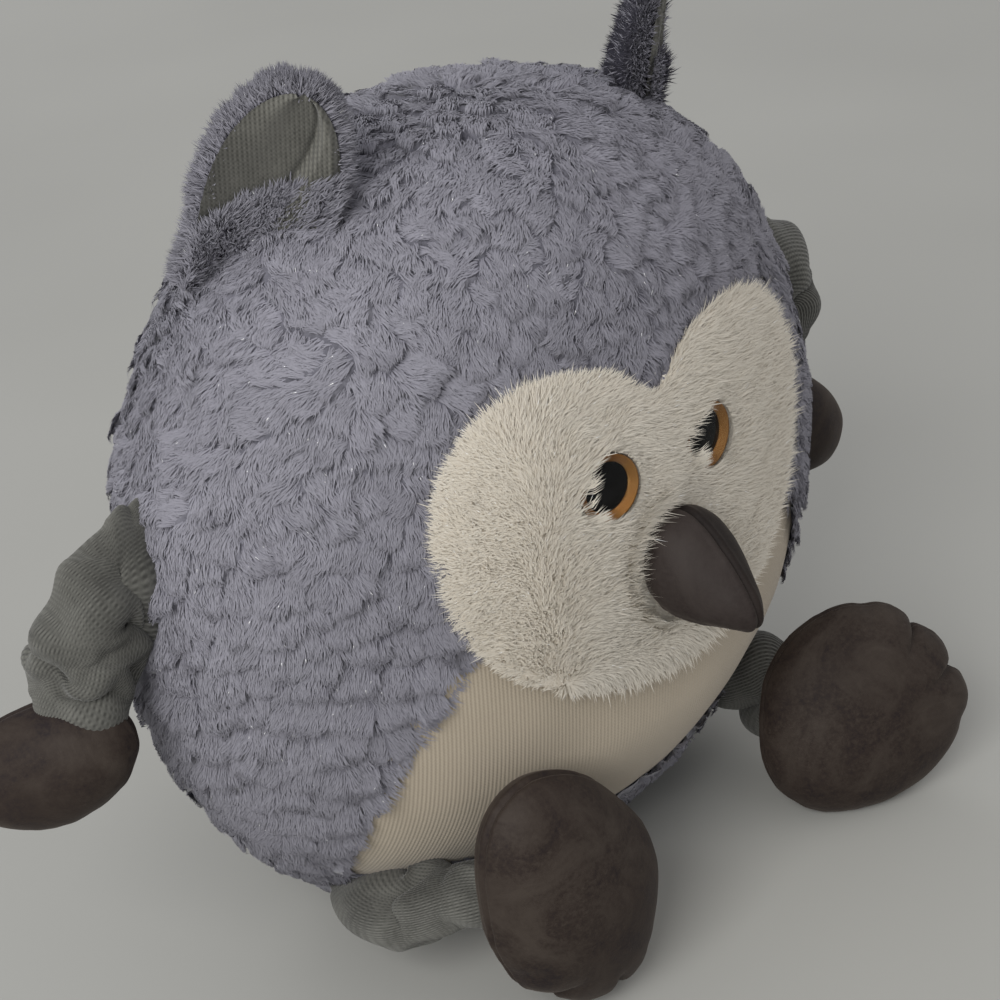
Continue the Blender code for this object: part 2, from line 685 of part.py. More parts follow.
def frame_of(long_axis, thick_axis):
    """A rotation whose X is the long axis and whose Z is the thickness, as a 4x4 matrix."""
    first = Vector(long_axis).normalized()
    third = Vector(thick_axis)
    third = (third - first * third.dot(first)).normalized()
    second = third.cross(first)
    return Matrix((first, second, third)).transposed().to_4x4()


def shaped_point(unit, half_sizes, inset, shaper):
    grow = shaper(unit)
    return Vector((
        unit.x * (half_sizes[0] * grow - inset), unit.y * (half_sizes[1] * grow - inset),
        unit.z * (half_sizes[2] - inset),
    ))


def stuffed_form(sizes, inset, shaper):
    """A stuffed form, longest along its own X, with its own Z across its thickness."""
    half_sizes = [size / 2 for size in sizes]
    return rounded(
        LIMB_SEGMENTS, LIMB_RINGS, lambda unit: shaped_point(unit, half_sizes, inset, shaper))


def stuffed(name, sizes, inset, finish, shaper, collection=OWL):
    return add_object(name, mesh_from(stuffed_form(sizes, inset, shaper), name), finish, collection)


def form_tree(sizes, inset, shaper, place):
    """A search tree over a stuffed form's surface at a place."""
    bm = stuffed_form(sizes, inset, shaper)
    bmesh.ops.transform(bm, matrix=place, verts=bm.verts)
    bm.normal_update()
    bmesh.ops.recalc_face_normals(bm, faces=bm.faces)
    tree = BVHTree.FromBMesh(bm)
    bm.free()
    return tree


def form_depth(sizes, shaper, turn):
    """How far a stuffed form, turned as it lies, reaches below its own middle."""
    bm = stuffed_form(sizes, 0.0, shaper)
    depth = -min((turn @ vert.co).z for vert in bm.verts)
    bm.free()
    return depth


def make_stuffed(prefix, side, place, sizes, shaper, halves, pivot):
    """A stuffing and its two cover halves, sewn together along the outline, carried by a pivot."""
    inner = stuffed(prefix + "_inner_" + side, sizes, VELOUR_THICKNESS, None, shaper, CUTTERS)
    core = stuffed(
        prefix + "_stuffing_" + side, sizes, VELOUR_THICKNESS + CLEARANCE, STUFFING, shaper)
    reach = max(sizes)
    pieces = [inner, core]
    for name, low, high in ((halves[0], HALF_SEAM, reach), (halves[1], -reach, -HALF_SEAM)):
        keep = block(name + "_keep_" + side, (-reach, -reach, low), (reach, reach, high))
        cover = stuffed(name + "_" + side, sizes, 0.0, VELOUR, shaper)
        cut(cover, "DIFFERENCE", inner)
        cut(cover, "INTERSECT", keep)
        pieces.extend((keep, cover))
    for piece in pieces:
        piece.matrix_basis = place
        carry(piece, pivot)


def make_pivot(name, place, axis, carrier=None):
    """An empty on a joint, whose own X lies along the joint's axis."""
    pivot = bpy.data.objects.new(name, None)
    pivot.empty_display_size = WRIST_RADIUS
    OWL.objects.link(pivot)
    turn = Vector(axis).to_track_quat("X", "Z").to_matrix().to_4x4()
    pivot.matrix_basis = Matrix.Translation(place) @ turn
    if carrier:
        carry(pivot, carrier)
    return pivot


def carry(piece, pivot):
    """Parents a piece to a pivot without moving it."""
    frame = pivot.matrix_basis.copy()
    piece.parent = pivot
    piece.matrix_parent_inverse = frame.inverted()


def body_tree(source, place):
    """A search tree over the faces of a body solid, moved by a matrix."""
    bm = bmesh.new()
    bm.from_mesh(source.data)
    bmesh.ops.transform(bm, matrix=place, verts=bm.verts)
    tree = BVHTree.FromBMesh(bm)
    bm.free()
    return tree


def swung_trees(make_tree, centre, axis, limits):
    """Search trees of a neighbour as a limb sees it at steps through the swing of their joint."""
    trees = []
    for step in range(ROOM_STEPS + 1):
        angle = limits[0] + (limits[1] - limits[0]) * step / ROOM_STEPS
        to_centre = Matrix.Translation(centre)
        trees.append(make_tree(to_centre @ Matrix.Rotation(angle, 4, axis) @ to_centre.inverted()))
    return trees


BODY_TREE = body_tree(FUR_OUTER, Matrix())


def seat_reach(tree, start, outward, radius):
    """How far out from a start inside or on a surface a ball of a radius clears that surface."""
    low, high = 0.0, HALF_SPAN
    for _ in range(SEARCH_STEPS):
        reach = (low + high) / 2
        middle = start + outward * reach
        nearest, normal, _, distance = tree.find_nearest(middle)
        if (middle - nearest).dot(normal) < 0 or distance < radius + CLEARANCE:
            low = reach
        else:
            high = reach
    return high


def yielding(centre, place, rooms):
    """A place on a limp sleeve, drawn in towards the sleeve's middle where it meets a neighbour."""
    way = place - centre
    reach = way.length
    way.normalize()
    for room in rooms:
        distance = room.ray_cast(centre, way, reach)[3]
        if distance is not None:
            reach = min(reach, distance)
    held = centre + way * reach
    held.z = max(held.z, FLOOR_GAP)
    return held


def sleeve(name, stations, seam_axis, rooms, pivot):
    """A limp gathered sleeve: oval rings along a path, closed by rounded ends.

    Each station is a centre, a half size along the seam's direction and a half size across it.
    """
    steps = SLEEVE_END_STEPS
    ends = []
    for here, inner in ((stations[0], stations[1]), (stations[-1], stations[-2])):
        small = min(here[1], here[2])
        away = (here[0] - inner[0]).normalized()
        rings = []
        for step in range(1, steps + 1):
            angle = math.pi / 2 * step / (steps + 1)
            shrink = small * (1 - math.sin(angle))
            rings.append((here[0] + away * small * math.cos(angle), here[1] - shrink, here[2] - shrink))
        ends.append((rings, here[0] + away * small))
    rings = ends[0][0] + stations + ends[1][0][::-1]
    bm = bmesh.new()
    rows = []
    for index, (centre, along, across) in enumerate(rings):
        heading = rings[min(index + 1, len(rings) - 1)][0] - rings[max(index - 1, 0)][0]
        heading.normalize()
        seam = (seam_axis - heading * seam_axis.dot(heading)).normalized()
        sideways = heading.cross(seam)
        row = []
        for turn in range(SLEEVE_SEGMENTS):
            angle = 2 * math.pi * turn / SLEEVE_SEGMENTS
            place = centre + seam * along * math.cos(angle) + sideways * across * math.sin(angle)
            row.append(bm.verts.new(yielding(centre, place, rooms)))
        rows.append(row)
    for lower, upper in zip(rows, rows[1:]):
        for turn in range(SLEEVE_SEGMENTS):
            after = (turn + 1) % SLEEVE_SEGMENTS
            bm.faces.new((lower[turn], lower[after], upper[after], upper[turn]))
    for row, tip, centre in (
        (rows[0], ends[0][1], stations[0][0]), (rows[-1], ends[1][1], stations[-1][0]),
    ):
        top = bm.verts.new(yielding(centre, tip, rooms))
        for turn in range(SLEEVE_SEGMENTS):
            bm.faces.new((row[turn], row[(turn + 1) % SLEEVE_SEGMENTS], top))
    bmesh.ops.transform(bm, matrix=pivot.matrix_basis.inverted(), verts=bm.verts)
    made = add_object(name, mesh_from(bm, name), GREY_KNIT)
    made.matrix_basis = pivot.matrix_basis
    carry(made, pivot)


def gathered(start, middle, end, root_sizes, bulge, end_radius):
    """Stations of a sleeve that swells between its sewn root and its end, with soft gathers."""
    stations = []
    handle = middle * 2 - (start + end) / 2
    for index in range(SLEEVE_STATIONS):
        share = index / (SLEEVE_STATIONS - 1)
        place = start * (1 - share) ** 2 + handle * 2 * share * (1 - share) + end * share ** 2
        swell = math.sin(math.pi * share)
        wave = 1 + GATHER_SHARE * math.sin(2 * math.pi * GATHER_COUNT * share)
        sizes = []
        for root_size in root_sizes:
            plain = root_size * (1 - share) + end_radius * share
            sizes.append(plain * (1 - swell) + bulge * swell * wave)
        stations.append((place, sizes[0], sizes[1]))
    return stations


def make_arm(side, sign):
    """A sleeve that hangs from the side seam and turns about it, and a hand that hangs from its end."""
    point, outward = body_surface(sign * SHOULDER_BEARING, BODY_WAIST_HEIGHT + SHOULDER_RISE)
    upward = Vector((0, 0, 1))
    axis = (upward - outward * outward.z).normalized()
    root = point + outward * seat_reach(BODY_TREE, point, outward, ARM_ROOT_RADIUS)
    swing = Matrix.Rotation(-sign * ARM_SWINGS[side], 3, axis)
    out = swing @ outward
    bulge_reach = ARM_BULGE_RADIUS * (1 + GATHER_SHARE) - ARM_ROOT_RADIUS + ARM_STANDOFFS[side]
    wrist_reach = WRIST_RADIUS - ARM_ROOT_RADIUS + WRIST_STANDOFFS[side]
    turn_axis = out.cross(upward).normalized()
    middle = root + out * bulge_reach - upward * ARM_BULGE_DROPS[side]
    wrist = root + out * wrist_reach - upward * WRIST_DROPS[side]
    sizes = (HAND_LENGTH, HAND_WIDTH, HAND_THICKNESS)
    mirror = Vector((sign, 1, 1))
    turn = swing.to_4x4() @ frame_of(
        Vector(HAND_AXIS_SHARES[side]) * mirror, Vector(HAND_THICK_SHARES[side]) * mirror)
    towards = (swing @ (Vector(WRIST_PLACE_SHARES[side]) * mirror)).normalized()
    seat = form_tree(sizes, 0.0, mitt_shape, turn)
    place = Matrix.Translation(wrist - towards * seat_reach(seat, Vector(), towards, WRIST_RADIUS)) @ turn
    rooms = swung_trees(
        lambda move: body_tree(SWING_ROOM, move), root, axis,
        [-limit * sign for limit in SHOULDER_LIMITS[side]])
    rooms += swung_trees(
        lambda move: form_tree(sizes, -SWING_GAP, mitt_shape, move @ place), wrist, turn_axis,
        WRIST_LIMITS[side])
    shoulder = make_pivot("shoulder_" + side, root, axis * sign)
    wrist_pivot = make_pivot("wrist_" + side, wrist, turn_axis, shoulder)
    stations = gathered(
        root, middle, wrist, (ARM_SEAM_LENGTH / 2, ARM_ROOT_RADIUS), ARM_BULGE_RADIUS, WRIST_RADIUS)
    sleeve("arm_sleeve_" + side, stations, axis, rooms, shoulder)
    make_stuffed("hand", side, place, sizes, mitt_shape, ("hand_front", "hand_back"), wrist_pivot)


def make_leg(side, sign):
    """A sleeve from the base seam, and a foot that lies against the floor beyond its end."""
    sizes = (FOOT_LENGTH, FOOT_WIDTH, FOOT_THICKNESS)
    turn = frame_of(FOOT_AXIS_SHARES[side], FOOT_SOLE_SHARES[side])
    height = FLOOR_GAP + form_depth(sizes, toe_shape, turn)
    bearing = FOOT_BEARINGS[side]
    front = Vector((math.sin(bearing), -math.cos(bearing), 0))
    facing = body_surface(bearing, height)[0]
    centre = front * (facing.dot(front) + FOOT_STANDOFFS[side]) + Vector((0, 0, height))
    place = Matrix.Translation(centre) @ turn
    towards = (turn.to_3x3() @ Vector(ANKLE_PLACE_SHARES[side])).normalized()
    seat = form_tree(sizes, 0.0, toe_shape, place)
    ankle = centre + towards * seat_reach(seat, centre, towards, ANKLE_RADIUS)
    point, outward = body_surface(sign * HIP_BEARING, BASE_SEAM_HEIGHT - HIP_DROP)
    root = point + outward * seat_reach(BODY_TREE, point, outward, LEG_ROOT_RADIUS)
    axis = Vector((outward.y, -outward.x, 0)).normalized()
    turn_axis = Vector((1, 0, 0))
    bow = Vector((outward.x, outward.y, 0)).normalized() * LEG_BULGE_BOW
    rooms = swung_trees(
        lambda move: body_tree(SWING_ROOM, move), root, axis, [-limit for limit in HIP_LIMITS[side]])
    rooms += swung_trees(
        lambda move: form_tree(sizes, -SWING_GAP, toe_shape, move @ place), ankle, turn_axis,
        ANKLE_LIMITS[side])
    hip = make_pivot("hip_" + side, root, axis)
    ankle_pivot = make_pivot("ankle_" + side, ankle, turn_axis, hip)
    stations = gathered(
        root, (root + ankle) / 2 + bow, ankle, (LEG_SEAM_LENGTH / 2, LEG_ROOT_RADIUS), LEG_BULGE_RADIUS,
        ANKLE_RADIUS,
    )
    sleeve("leg_sleeve_" + side, stations, axis, rooms, hip)
    make_stuffed("foot", side, place, sizes, toe_shape, ("foot_sole", "foot_upper"), ankle_pivot)


def make_owl():
    stuffing, face = make_body()
    for side, sign in (("right", -1), ("left", 1)):
        make_eye(side, sign, stuffing, face)
    make_beak(face)
    for side, sign in (("right", -1), ("left", 1)):
        make_ear(side, sign)
        make_arm(side, sign)
        make_leg(side, sign)


make_owl()
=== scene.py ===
"""The plush owl dressed for its photograph: pile, knits, stuffed velour and glassy eyes over the
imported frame. Sizes are in metres; the owl faces -Y and its own left is +X."""

import math

import bpy
import numpy as np
from mathutils import Euler, Matrix, Vector
from mathutils.kdtree import KDTree


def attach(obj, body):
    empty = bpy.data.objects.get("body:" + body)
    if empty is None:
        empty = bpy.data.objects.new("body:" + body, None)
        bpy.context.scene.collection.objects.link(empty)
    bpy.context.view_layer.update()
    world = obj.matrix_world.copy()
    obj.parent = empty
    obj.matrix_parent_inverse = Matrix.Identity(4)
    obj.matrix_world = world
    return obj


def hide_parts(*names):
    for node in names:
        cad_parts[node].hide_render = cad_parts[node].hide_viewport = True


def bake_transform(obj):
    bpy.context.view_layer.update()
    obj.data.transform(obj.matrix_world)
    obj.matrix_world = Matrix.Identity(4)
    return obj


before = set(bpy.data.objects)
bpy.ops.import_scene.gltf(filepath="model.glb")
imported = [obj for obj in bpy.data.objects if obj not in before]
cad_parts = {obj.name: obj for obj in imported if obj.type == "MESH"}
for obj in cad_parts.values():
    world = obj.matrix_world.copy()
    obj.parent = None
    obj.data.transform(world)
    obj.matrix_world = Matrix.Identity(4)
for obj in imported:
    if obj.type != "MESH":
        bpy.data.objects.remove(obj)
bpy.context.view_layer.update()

MM = 0.001
SIDES = {"right": -1, "left": 1}
RNG = np.random.default_rng(7)
UV = "OFBake"

# The body: its waist's height, its size, and how its base settles flat
WAIST = 155.251 * MM
WIDTH, FRONT, BACK, CROWN, BASE = 316 * MM, 97 * MM, 88 * MM, 158 * MM, 166 * MM
FLAT_RISE, FLAT_BLEND = 10 * MM, 5 * MM
SIDE_SEAM, BASE_SEAM = -6 * MM, 43 * MM

# Counts of the fibres and of the places tried for tufts, the most fibres in one piece, the tints of
# fibres painted white at their tips as glints and of plain ones, and how far under the fur's surface
# its fibres root and its stuffing lies
FUR_FIBRES, FACE_FIBRES, EAR_FIBRES = 700000, 1200000, 54000
TUFT_TRIES, PIECE_FIBRES = 70000, 65000
GLINT_TINT, GLINT_FROM, PLAIN_TINTS = 0.993, 0.985, (0.03, 0.96)
PILE_ROOT, STUFFING_INSET = 5.5 * MM, 9.5 * MM


def stacked(*parts):
    return np.stack(parts, axis=-1)


def unit(rows):
    return rows / np.maximum(np.linalg.norm(rows, axis=-1, keepdims=True), 1e-12)


def step01(value):
    held = np.clip(value, 0, 1)
    return held * held * (3 - 2 * held)


def bell(value, width):
    return np.exp(-(value / width) ** 2)


def noise(points, scale, seed):
    """Smooth noise from -1 to 1, with one swing about every scale."""
    place = np.asarray(points) / scale + seed * 13.7
    cell = np.floor(place).astype(np.int64)
    part = place - cell
    part = part * part * (3 - 2 * part)
    total = np.zeros(len(place))
    for corner in range(8):
        bits = np.array([corner & 1, corner >> 1 & 1, corner >> 2])
        at = cell + bits
        mixed = at[:, 0] * 374761393 + at[:, 1] * 668265263 + at[:, 2] * 2147483647 + seed * 974711
        mixed = (mixed ^ (mixed >> 13)) * 1274126177 & 0x7FFFFFFF
        mixed = (mixed ^ (mixed >> 15)) * 2246822519 & 0x7FFFFFFF
        total += np.prod(np.where(bits, part, 1 - part), axis=1) * (mixed / 0x3FFFFFFF - 1)
    return total


def noises(points, scale, *seeds):
    return stacked(*[noise(points, scale, seed) for seed in seeds])


def cubic(before, here, after, later, share):
    """A smooth step from here to after, in line with the points on either side of them."""
    return (here + (after - before) * share / 2
            + (before * 2 - here * 5 + after * 4 - later) * share ** 2 / 2
            + (here * 3 - before - after * 3 + later) * share ** 3 / 2)


def turned(way, normal, angle):
    """Directions turned about their normals."""
    angle = np.reshape(angle, (-1, 1))
    return unit(way * np.cos(angle) + np.cross(normal, way) * np.sin(angle))


def put(points, matrix):
    turn = np.array(matrix)
    return points @ turn[:3, :3].T + turn[:3, 3]


def seated(place, long_axis, thick_axis):
    """A matrix at a place, with its X along the long axis and its Z along the thick one."""
    first = Vector(long_axis).normalized()
    third = Vector(thick_axis)
    third = (third - first * third.dot(first)).normalized()
    return Matrix.Translation(place) @ Matrix((first, third.cross(first), third)).transposed().to_4x4()


def mirrored(place, sign):
    return (place[0] * sign, *place[1:])


def body(bearing, tilt, inset=0.0):
    """Points of the body, inset from the fur's surface, at bearings from the front and at tilts."""
    x, y, z = np.sin(bearing) * np.cos(tilt), -np.cos(bearing) * np.cos(tilt), np.sin(tilt)
    flat = np.maximum(np.hypot(x, y), 1e-9)
    square = 2.05 + 0.55 * (y / flat) ** 2
    reach = (flat ** square + np.abs(z) ** square) ** (-1 / square)
    power = np.where(y < 0, 1.86, 2.0)
    plan = ((np.abs(x) / flat) ** power + (np.abs(y) / flat) ** power) ** (-1 / power)
    px = x * plan * (WIDTH / 2 - inset) * reach
    py = y * plan * (np.where(y < 0, FRONT, BACK) - inset) * reach
    pz = z * (np.where(z > 0, CROWN, BASE) - inset) * reach
    tuck = 0.34 * step01((-pz / BASE - 0.38) / 0.62)
    py = np.where(py < 0, py * (1 - tuck), py)
    settled = -(BASE - inset) + FLAT_RISE
    depth = settled + FLAT_BLEND - pz
    pz = np.where(depth > 0, settled + FLAT_BLEND * np.exp(-np.maximum(depth, 0) / FLAT_BLEND), pz)
    return stacked(px, py, np.maximum(pz + WAIST, inset + 0.3 * MM))


def skin(bearing, tilt):
    """Point, outward normal, downhill and eastward directions on the body."""
    step = math.radians(0.4)
    east = body(bearing + step, tilt) - body(bearing - step, tilt)
    rise = body(bearing, tilt + step) - body(bearing, tilt - step)
    normal = unit(np.cross(east, rise))
    down = unit(-rise)
    return body(bearing, tilt), normal, down, np.cross(down, normal)


# The outlines of the mask and the belly, seen from the front


def smooth_outline(points, steps):
    corners = [np.roll(points, -move, axis=0)[:, None] for move in (-1, 0, 1, 2)]
    return cubic(*corners, (np.arange(steps) / steps)[:, None]).reshape(-1, 2)


MASK_BOTTOM = WAIST - 39 * MM
MASK_REACH, MASK_HEIGHT = 86 * MM, 120 * MM
HALF_MASK = [(0, 0), (.34, .03), (.66, .12), (.89, .30), (.99, .54), (.97, .76), (.78, .94), (.50, 1),
             (.22, .965), (0, .86)]
HALF_MASK = [(MASK_REACH * a, MASK_BOTTOM + MASK_HEIGHT * b) for a, b in HALF_MASK]
MASK = smooth_outline(HALF_MASK + [(-a, b) for a, b in HALF_MASK[-2:0:-1]], 6)
BELLY_REACH, BELLY_HEIGHT = 114 * MM, MASK_BOTTOM + 60 * MM - BASE_SEAM
HALF_BELLY = [(.96, 0), (1.02, .18), (1.00, .38), (.88, .60), (.69, .82), (.58, 1)]
HALF_BELLY = [(BELLY_REACH * a, BASE_SEAM + BELLY_HEIGHT * b) for a, b in HALF_BELLY]
BELLY = np.array(HALF_BELLY + [(-a, b) for a, b in reversed(HALF_BELLY)])


def outline_depth(outline, x, z):
    """How far inside an outline points lie, negative outside."""
    best = np.full(len(x), 1e9)
    inside = np.zeros(len(x), bool)
    for (ax, az), (bx, bz) in zip(outline, np.roll(outline, -1, axis=0)):
        dx, dz = bx - ax, bz - az
        share = np.clip(((x - ax) * dx + (z - az) * dz) / max(dx * dx + dz * dz, 1e-12), 0, 1)
        best = np.minimum(best, (x - ax - share * dx) ** 2 + (z - az - share * dz) ** 2)
        if dz:
            inside ^= ((az > z) != (bz > z)) & (x < ax + dx * (z - az) / dz)
    return np.where(inside, 1, -1) * np.sqrt(best)


# Each cover's name in this scene and in the frame
COVERS = {"side_right": "side_cover_right", "side_left": "side_cover_left", "back": "back_cover",
          "base": "base_cover", "face": "face_cover", "belly": "belly_cover"}
FACE, KNIT_BELLY = 4, 5


def cover_of(points):
    """Index in COVERS of the cover each body point belongs to."""
    x, y, z = points.T
    kind = np.where(x < 0, 0, 1)
    kind = np.where(outline_depth(BELLY, x, z) > 0, KNIT_BELLY, kind)
    kind = np.where(outline_depth(MASK, x, z) > 0, FACE, kind)
    kind = np.where(y > SIDE_SEAM, 2, kind)
    return np.where(z < BASE_SEAM, 3, kind)


# Materials


class Finish:
    """A node material; values that are sockets are linked and others set."""

    def __init__(self, name):
        self.made = bpy.data.materials.new(name)
        self.made.use_nodes = True
        self.nodes, self.links = self.made.node_tree.nodes, self.made.node_tree.links

    def give(self, node, values):
        for key, value in values.items():
            socket = node.inputs[key]
            if isinstance(value, bpy.types.NodeSocket):
                self.links.new(value, socket)
            elif socket.type == "RGBA":
                socket.default_value = (*value[:3], 1)
            else:
                socket.default_value = value

    def done(self, values):
        """Gives the shader its values and returns the material."""
        self.give(self.nodes["Principled BSDF"], values)
        return self.made

    def add(self, kind, inputs=None, **settings):
        node = self.nodes.new("ShaderNode" + kind)
        for key, value in settings.items():
            setattr(node, key, value)
        self.give(node, inputs or {})
        return node

    def uv(self):
        parts = self.add("SeparateXYZ", {0: self.add("UVMap", uv_map=UV).outputs[0]})
        return parts.outputs[0], parts.outputs[1]

    def noise(self, scale, detail, rough, place=None, distortion=0.0):
        return self.add("TexNoise", {
            "Vector": place or self.add("TexCoord").outputs["Object"], "Scale": scale, "Detail": detail,
            "Roughness": rough, "Distortion": distortion}).outputs[0]

    def calc(self, kind, *values):
        return self.add("Math", dict(enumerate(values)), operation=kind).outputs[0]

    def ramp(self, value, *stops):
        node = self.add("ValToRGB", {0: value})
        points = node.color_ramp.elements
        while len(points) < len(stops):
            points.new(0.5)
        for point, (place, colour) in zip(points, stops):
            point.position = place
            point.color = (*colour, 1)
        return node.outputs[0]

    def mix(self, share, one, two, kind="MIX"):
        node = self.add("Mix", {0: share}, data_type="RGBA", blend_type=kind)
        self.give(node, {6: one, 7: two})
        return node.outputs[2]

    def bump(self, height, strength, distance):
        return self.add("Bump", {"Height": height, "Strength": strength, "Distance": distance}).outputs[0]


def pile_finish(name, dark, light, tip, root, sheen):
    """Fibres: tint across the map's width, painted shade at the root and a lighter tip up its height, a few
    tips painted white as glints.
    """
    made = Finish(name)
    across, up = made.uv()
    tone = made.mix(across, dark, light)
    # Painted shade: up the map's height the tone is multiplied by the root colour at the root, and mixed
    # towards the tip colour at the tip.
    tone = made.mix(up, made.mix(1.0, tone, root, "MULTIPLY"), made.mix(0.35, tone, tip))
    # Painted glints: fibres with the highest tints turn white near their tips.
    glint = [made.calc("GREATER_THAN", place, least) for place, least in ((across, GLINT_FROM), (up, 0.72))]
    return made.done({
        "Base Color": made.mix(made.calc("MULTIPLY", *glint), tone, (.95, .95, .95)), "Roughness": 0.75,
        "Sheen Weight": sheen, "Sheen Roughness": 0.4, "Sheen Tint": light, "Specular IOR Level": 0.25})


def ground_finish(name, dark, light, deep):
    """The dense short pile under the fibres, with painted shade where it lies deep."""
    made = Finish(name)
    relief = made.add("Attribute", attribute_name="relief").outputs["Fac"]
    fine = made.noise(700, 3, 0.6)
    wide = made.noise(38, 2, 0.5)
    tone = made.ramp(made.calc("MULTIPLY_ADD", fine, 0.6, made.calc("MULTIPLY", wide, 0.4)),
                     (0.3, dark), (0.7, light))
    return made.done({
        # Painted shade: where the relief is low the tone is multiplied by the deep colour.
        "Base Color": made.mix(relief, made.mix(1.0, tone, deep, "MULTIPLY"), tone), "Roughness": 0.9,
        "Sheen Weight": 0.3, "Sheen Roughness": 0.5, "Specular IOR Level": 0.2,
        "Normal": made.bump(fine, 0.6, 0.8 * MM)})


def knit_finish(name, dark, light, ribs, rows, cloud):
    """Rib knit: the map's width counts ribs and its height stitch rows; each rib's groove is painted darker as
    shade.
    """
    made = Finish(name)
    rib, row = [made.calc("SINE", made.calc("MULTIPLY", place, count * 2 * math.pi))
                for place, count in zip(made.uv(), (ribs, rows))]
    stitch = made.calc("MULTIPLY_ADD", made.calc("MULTIPLY", rib, row), 0.25, made.noise(900, 2, 0.6))
    tone_and_groove_shade = made.calc("MULTIPLY", made.noise(cloud, 3, 0.55), 0.65)
    # Painted shade: the rib's sine darkens a stripe in each rib's groove and lightens its crest; the stitch
    # pattern and cloudy noise are the knit's own tone.
    tone_and_groove_shade = made.calc("MULTIPLY_ADD", rib, 0.16, made.calc("MULTIPLY_ADD", stitch, 0.35, tone_and_groove_shade))
    return made.done({
        "Base Color": made.ramp(tone_and_groove_shade, (0.25, dark), (0.75, light)), "Roughness": 0.85,
        "Sheen Weight": 0.25, "Sheen Roughness": 0.5, "Specular IOR Level": 0.2,
        "Normal": made.bump(stitch, 0.5, 0.25 * MM)})


def velour_finish(name, dark, middle, light, seed):
    """Short velour, with patches of painted sheen where its nap is brushed different ways."""
    made = Finish(name)
    place = made.add("Mapping", {
        "Location": (seed, seed * 2, 0), "Vector": made.add("TexCoord").outputs["Object"]}).outputs[0]
    sheen_patch = made.noise(34, 4, 0.62, place, 1.2)
    wide = made.noise(14, 2, 0.5, place)
    grain = made.noise(1500, 2, 0.7)
    speck = made.noise(520, 3, 0.75)
    # Painted sheen: the patches make the tone lighter or darker as the brushed nap would catch the light, over
    # a wider random tone; the specks grow stronger in the darker patches.
    value = made.calc("MULTIPLY_ADD", sheen_patch, 0.62, made.calc("MULTIPLY", wide, 0.38))
    nap_sheen = made.calc("MULTIPLY", made.ramp(sheen_patch, (.40, (1, 1, 1)), (.56, (.25, .25, .25))), 0.55)
    value = made.calc("MULTIPLY_ADD", made.calc("SUBTRACT", speck, 0.5), nap_sheen, value)
    tone = made.ramp(value, (0.36, dark), (0.50, middle), (0.66, light))
    height = made.calc("ADD", grain, made.calc("MULTIPLY", speck, 0.8))
    return made.done({
        "Base Color": made.mix(made.calc("MULTIPLY", grain, 0.25), tone, (.03, .02, .018)),
        "Roughness": 0.7, "Sheen Weight": 0.12, "Sheen Roughness": 0.35, "Sheen Tint": (.62, .52, .45),
        "Specular IOR Level": 0.25, "Normal": made.bump(height, 0.45, 0.25 * MM)})


def stuffing_finish():
    made = Finish("polyester_stuffing")
    fine = made.noise(260, 4, 0.7)
    return made.done({
        "Base Color": made.ramp(fine, (.3, (.70, .70, .68)), (.7, (.90, .90, .88))), "Roughness": 0.95,
        "Normal": made.bump(fine, 0.6, 1 * MM)})


def plastic_finish(name, dark, light, rough, **more):
    made = Finish(name)
    wear = made.noise(160, 3, 0.6)
    return made.done({
        "Base Color": made.ramp(wear, (.3, dark), (.7, light)),
        "Roughness": made.calc("MULTIPLY_ADD", wear, 0.06, rough), **more})


def glitter_finish():
    """Amber film with glitter flakes."""
    made = Finish("amber_glitter")
    cells = made.add("TexVoronoi", {"Scale": 1300}, feature="F1")
    flake = made.add("SeparateXYZ", {0: cells.outputs["Color"]}).outputs[0]
    return made.done({
        "Base Color": made.ramp(flake, (0, (.24, .076, .010)), (.6, (.44, .16, .024)), (.93, (.80, .52, .18))),
        "Roughness": 0.3, "Metallic": 0.55, "Normal": made.bump(flake, 0.35, 0.2 * MM)})


BELLY_RIBS, SLEEVE_RIBS, LINING_RIBS = 164, 76, 60
# The fourth colour of each pile multiplies its fibres' roots darker as painted shade.
FUR = pile_finish(
    "lavender_fur_pile", (.222, .218, .248), (.298, .292, .334), (.355, .348, .392), (.88, .87, .90), 0.3)
# The last colour of each ground darkens it where it lies deep, as painted shade.
FUR_GROUND = ground_finish("lavender_fur_ground", (.19, .186, .212), (.295, .288, .330), (.60, .60, .63))
WHITE = pile_finish(
    "white_fur_pile", (.655, .60, .51), (.75, .695, .605), (.80, .765, .70), (.97, .96, .95), 0.2)
WHITE_GROUND = ground_finish("white_fur_ground", (.67, .61, .525), (.76, .705, .62), (.95, .94, .93))
CREAM = knit_finish("cream_rib_knit", (.365, .307, .232), (.425, .363, .283), BELLY_RIBS, 90, 9)
GREY = knit_finish("grey_rib_knit", (.042, .041, .037), (.142, .140, .126), SLEEVE_RIBS, 60, 60)
LINING = knit_finish("grey_lining_knit", (.043, .042, .036), (.168, .164, .146), LINING_RIBS, 50, 50)
VELOUR = velour_finish("taupe_velour", (.013, .008, .0088), (.0275, .0185, .0142), (.051, .039, .031), 0.0)
BEAK = velour_finish(
    "beak_velour_right", (.0125, .0083, .0075), (.0225, .016, .0143), (.036, .028, .025), 3.0)
# The beak's left side, away from the light, is a darker copy of its velour, as painted shade.
BEAK_SHADED = velour_finish(
    "beak_velour_left_shaded", (.0065, .004, .0035), (.013, .0085, .0068), (.022, .0158, .0133), 4.0)
BEAK_UNDER = velour_finish(
    "beak_velour_under", (.018, .013, .0118), (.032, .0245, .022), (.052, .042, .037), 5.0)
STUFFING = stuffing_finish()
PUPIL = plastic_finish(
    "black_plastic", (.0015, .0015, .0015), (.002, .002, .002), 0.10, **{"Specular IOR Level": 0.1})
CLEAR = plastic_finish("clear_plastic", (.01, .01, .01), (.015, .015, .015), 0.04, Alpha=0.22)
WASHER = plastic_finish("washer_plastic", (.70, .70, .69), (.80, .80, .79), 0.45)
GLITTER = glitter_finish()


# Meshes


